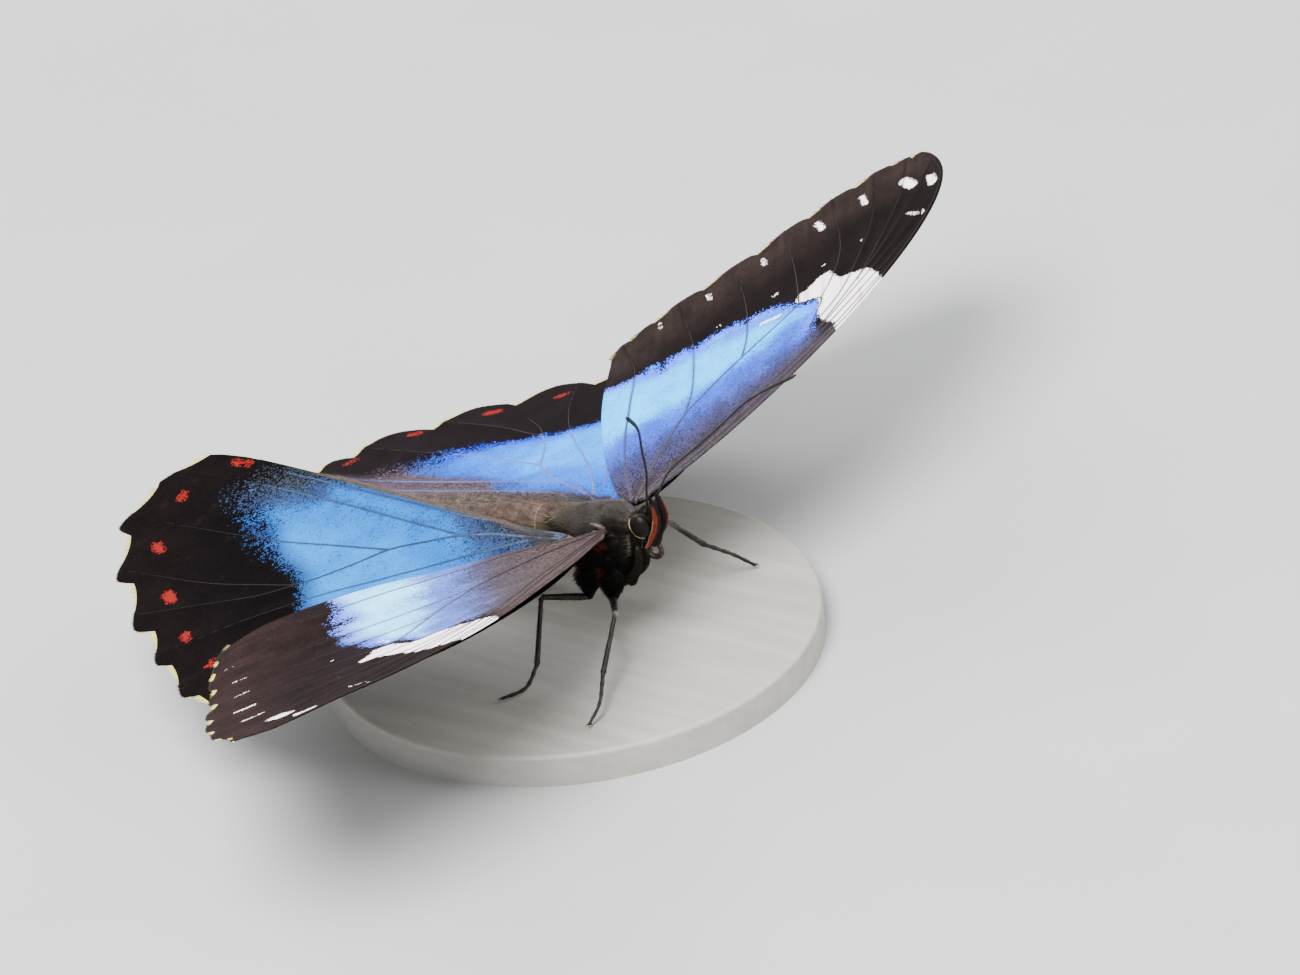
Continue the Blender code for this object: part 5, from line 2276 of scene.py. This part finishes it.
@dataclass
class Studio:
    """Floor, soft lights and the camera."""

    right: Place = (0.5595, -0.8199, -0.121)
    up: Place = (0.4819, 0.2032, 0.8523)
    toward: Place = (-0.6743, -0.5352, 0.5088)
    distance: float = 2793.4
    aim: tuple[float, float] = (3.768, 3.552)
    lens: float = 676.6
    lamps: tuple[Lamp, ...] = (
        Lamp("key", (-0.45, -0.1, 0.75), 0.5, 27.3),
        Lamp("fill", (0.5, -0.55, 0.5), 0.8, 6.3),
        Lamp("rim", (0.25, 0.7, 0.6), 0.6, 8.4),
    )

    def build(self) -> None:
        """Set up the stage."""
        self.build_floor()
        for lamp in self.lamps:
            lamp.build()
        self.build_air()
        self.build_camera()

    def build_floor(self) -> None:
        """A wide pale floor."""
        bm = bmesh.new()
        bmesh.ops.create_grid(bm, x_segments=1, y_segments=1, size=4.0)
        floor = bpy.data.objects.new("floor", mesh_of(bm, "floor"))
        bpy.context.scene.collection.objects.link(floor)
        graph = Paint("floor")
        tone = graph.blend(graph.noise(graph.here(), 30.0, 2.0), 0.3, 0.7)
        colour = graph.mix(tone, (0.35, 0.35, 0.345), (0.365, 0.365, 0.36))
        floor.data.materials.append(graph.finish(colour, 0.85))

    def build_air(self) -> None:
        """Pale light from all around."""
        air = bpy.data.worlds.new("air")
        air.use_nodes = True
        background = air.node_tree.nodes["Background"].inputs
        background["Color"].default_value = (0.93, 0.96, 1.0, 1.0)
        background["Strength"].default_value = 1.3
        bpy.context.scene.world = air

    def build_camera(self) -> None:
        """The camera at its angle, with its lens."""
        data = bpy.data.cameras.new("camera")
        data.lens = self.lens
        data.sensor_width = 36.0
        data.clip_end = 20.0
        right, up, toward = (np.array(axis) for axis in (self.right, self.up, self.toward))
        place = world(self.aim[0] * right + self.aim[1] * up + self.distance * toward)
        camera = bpy.data.objects.new("camera", data)
        turn = Matrix((self.right, self.up, self.toward)).transposed()
        camera.matrix_world = Matrix.Translation(place) @ turn.to_4x4()
        bpy.context.scene.collection.objects.link(camera)
        bpy.context.scene.camera = camera


# Everything.


# Each wing's colours, with painted light: the same iridescent scales are painted lighter, darker or paler on
# each wing as the light and the angle of view fall on it, so these are lit and shaded copies of one set of
# colours.
LEFT_FORE = WingPaletteAsLit(
    base=(0.024, 0.0185, 0.024), dusk=(0.03, 0.03, 0.086), blue=(0.02, 0.07, 0.48), pale=(0.0, 0.4, 0.93),
    rim=(0.05, 0.13, 0.93), border=(0.0036, 0.002, 0.0019), outer=(0.016, 0.0105, 0.009),
    vein_base=(0.04, 0.033, 0.036), vein_blue=(0.03, 0.043, 0.14), vein_border=(0.02, 0.013, 0.0115),
)
RIGHT_FORE = WingPaletteAsLit(
    base=(0.044, 0.031, 0.03), dusk=(0.048, 0.037, 0.048), blue=(0.072, 0.125, 0.43), pale=(0.2, 0.6, 0.93),
    rim=(0.095, 0.145, 0.62), border=(0.0075, 0.0042, 0.0041), outer=(0.016, 0.0085, 0.0086),
    vein_base=(0.024, 0.0145, 0.014), vein_blue=(0.0536, 0.0575, 0.115), vein_border=(0.015, 0.009, 0.0088),
)
LEFT_HIND = WingPaletteAsLit(
    base=(0.048, 0.033, 0.048), dusk=(0.015, 0.055, 0.29), blue=(0.0, 0.105, 0.56), pale=(0.0, 0.24, 0.8),
    rim=(0.005, 0.035, 0.55), border=(0.003, 0.0014, 0.0019), outer=(0.0044, 0.0024, 0.0029),
    vein_base=(0.085, 0.076, 0.1), vein_blue=(0.08, 0.115, 0.36), vein_border=(0.014, 0.009, 0.0092),
)
RIGHT_HIND = WingPaletteAsLit(
    base=(0.015, 0.02, 0.03), dusk=(0.016, 0.032, 0.085), blue=(0.0, 0.096, 0.35), pale=(0.0, 0.135, 0.42),
    rim=(0.012, 0.024, 0.085), border=(0.0012, 0.0007, 0.0008), outer=(0.003, 0.0017, 0.0018),
    vein_base=(0.0372, 0.0553, 0.0845), vein_blue=(0.0146, 0.0298, 0.0672), vein_border=(0.009, 0.006, 0.006),
)


def main() -> None:
    """Build the scene in order and report each piece."""
    logging.basicConfig(level=logging.INFO, format="%(message)s")
    effects = SharedEffects()
    Studio().build()
    Base().build()
    Body(effects).build()
    Legs().build()
    fore_hinge, hind_hinge = (3.66, 0.0, 0.0), (2.2, 3.94, -0.55)
    left_rise = ((0, 0), (6, 0.8), (14, 1.6), (22.3, 1.9), (31, 1.5), (40, 0.5), (46, 0), (62, 0))
    right_rise = (
        (0, 0), (4, 0.3), (10, 0.95), (16, 1.3), (21.5, 1.8), (28, 2.35), (35, 2.5), (40, 2.3), (45, 1.4),
        (51, 0.4), (62, 0),
    )
    wings = (
        Forewing(
            WingPose(Side.LEFT, fore_hinge, 33.9, 6.8, 22.7), LEFT_FORE, FORE_OUTLINE, FORE_VEINS,
            rise=left_rise, drawn_in=0.8, slant=0.5, bare_from=0.84,
        ),
        Forewing(
            WingPose(Side.RIGHT, fore_hinge, 31.9, 1.6, 21.6), RIGHT_FORE, FORE_OUTLINE, FORE_VEINS,
            rise=right_rise, costal_lift=0.5, late=4.0, drawn_in=2.2, slant=0.3, bare_from=0.85, short=1.3,
            tip_sag=1.0,
        ),
        Hindwing(
            WingPose(Side.LEFT, hind_hinge, 1.8, 7.2, 12.6), LEFT_HIND, LEFT_HIND_OUTLINE, HIND_VEINS,
            tip_sag=0.9, mauve=1.0,
        ),
        Hindwing(WingPose(Side.RIGHT, hind_hinge, 5.8, 8.9, -1.5), RIGHT_HIND, HIND_OUTLINE, HIND_VEINS),
    )
    lower = WingLower(effects).build()
    edge = Fringe().build()
    down = WingHair().build()
    coat = Coat()
    for number, wing in enumerate(wings):
        rng = np.random.default_rng(SEED + 50 + number)
        wing.build_membrane(WingUpper(effects, wing.palette, f"{wing.name}_upper").build(), lower)
        wing.build_veins(VeinSkin(wing.palette, f"{wing.name}_veins").build())
        coat.build(f"{wing.name}_fringe", wing.fringe(rng), edge, "blue_wing")
        if isinstance(wing, Hindwing):
            coat.build(f"{wing.name}_hair", wing.hair(), down, "body_fur")


if __name__ == "__main__":
    main()
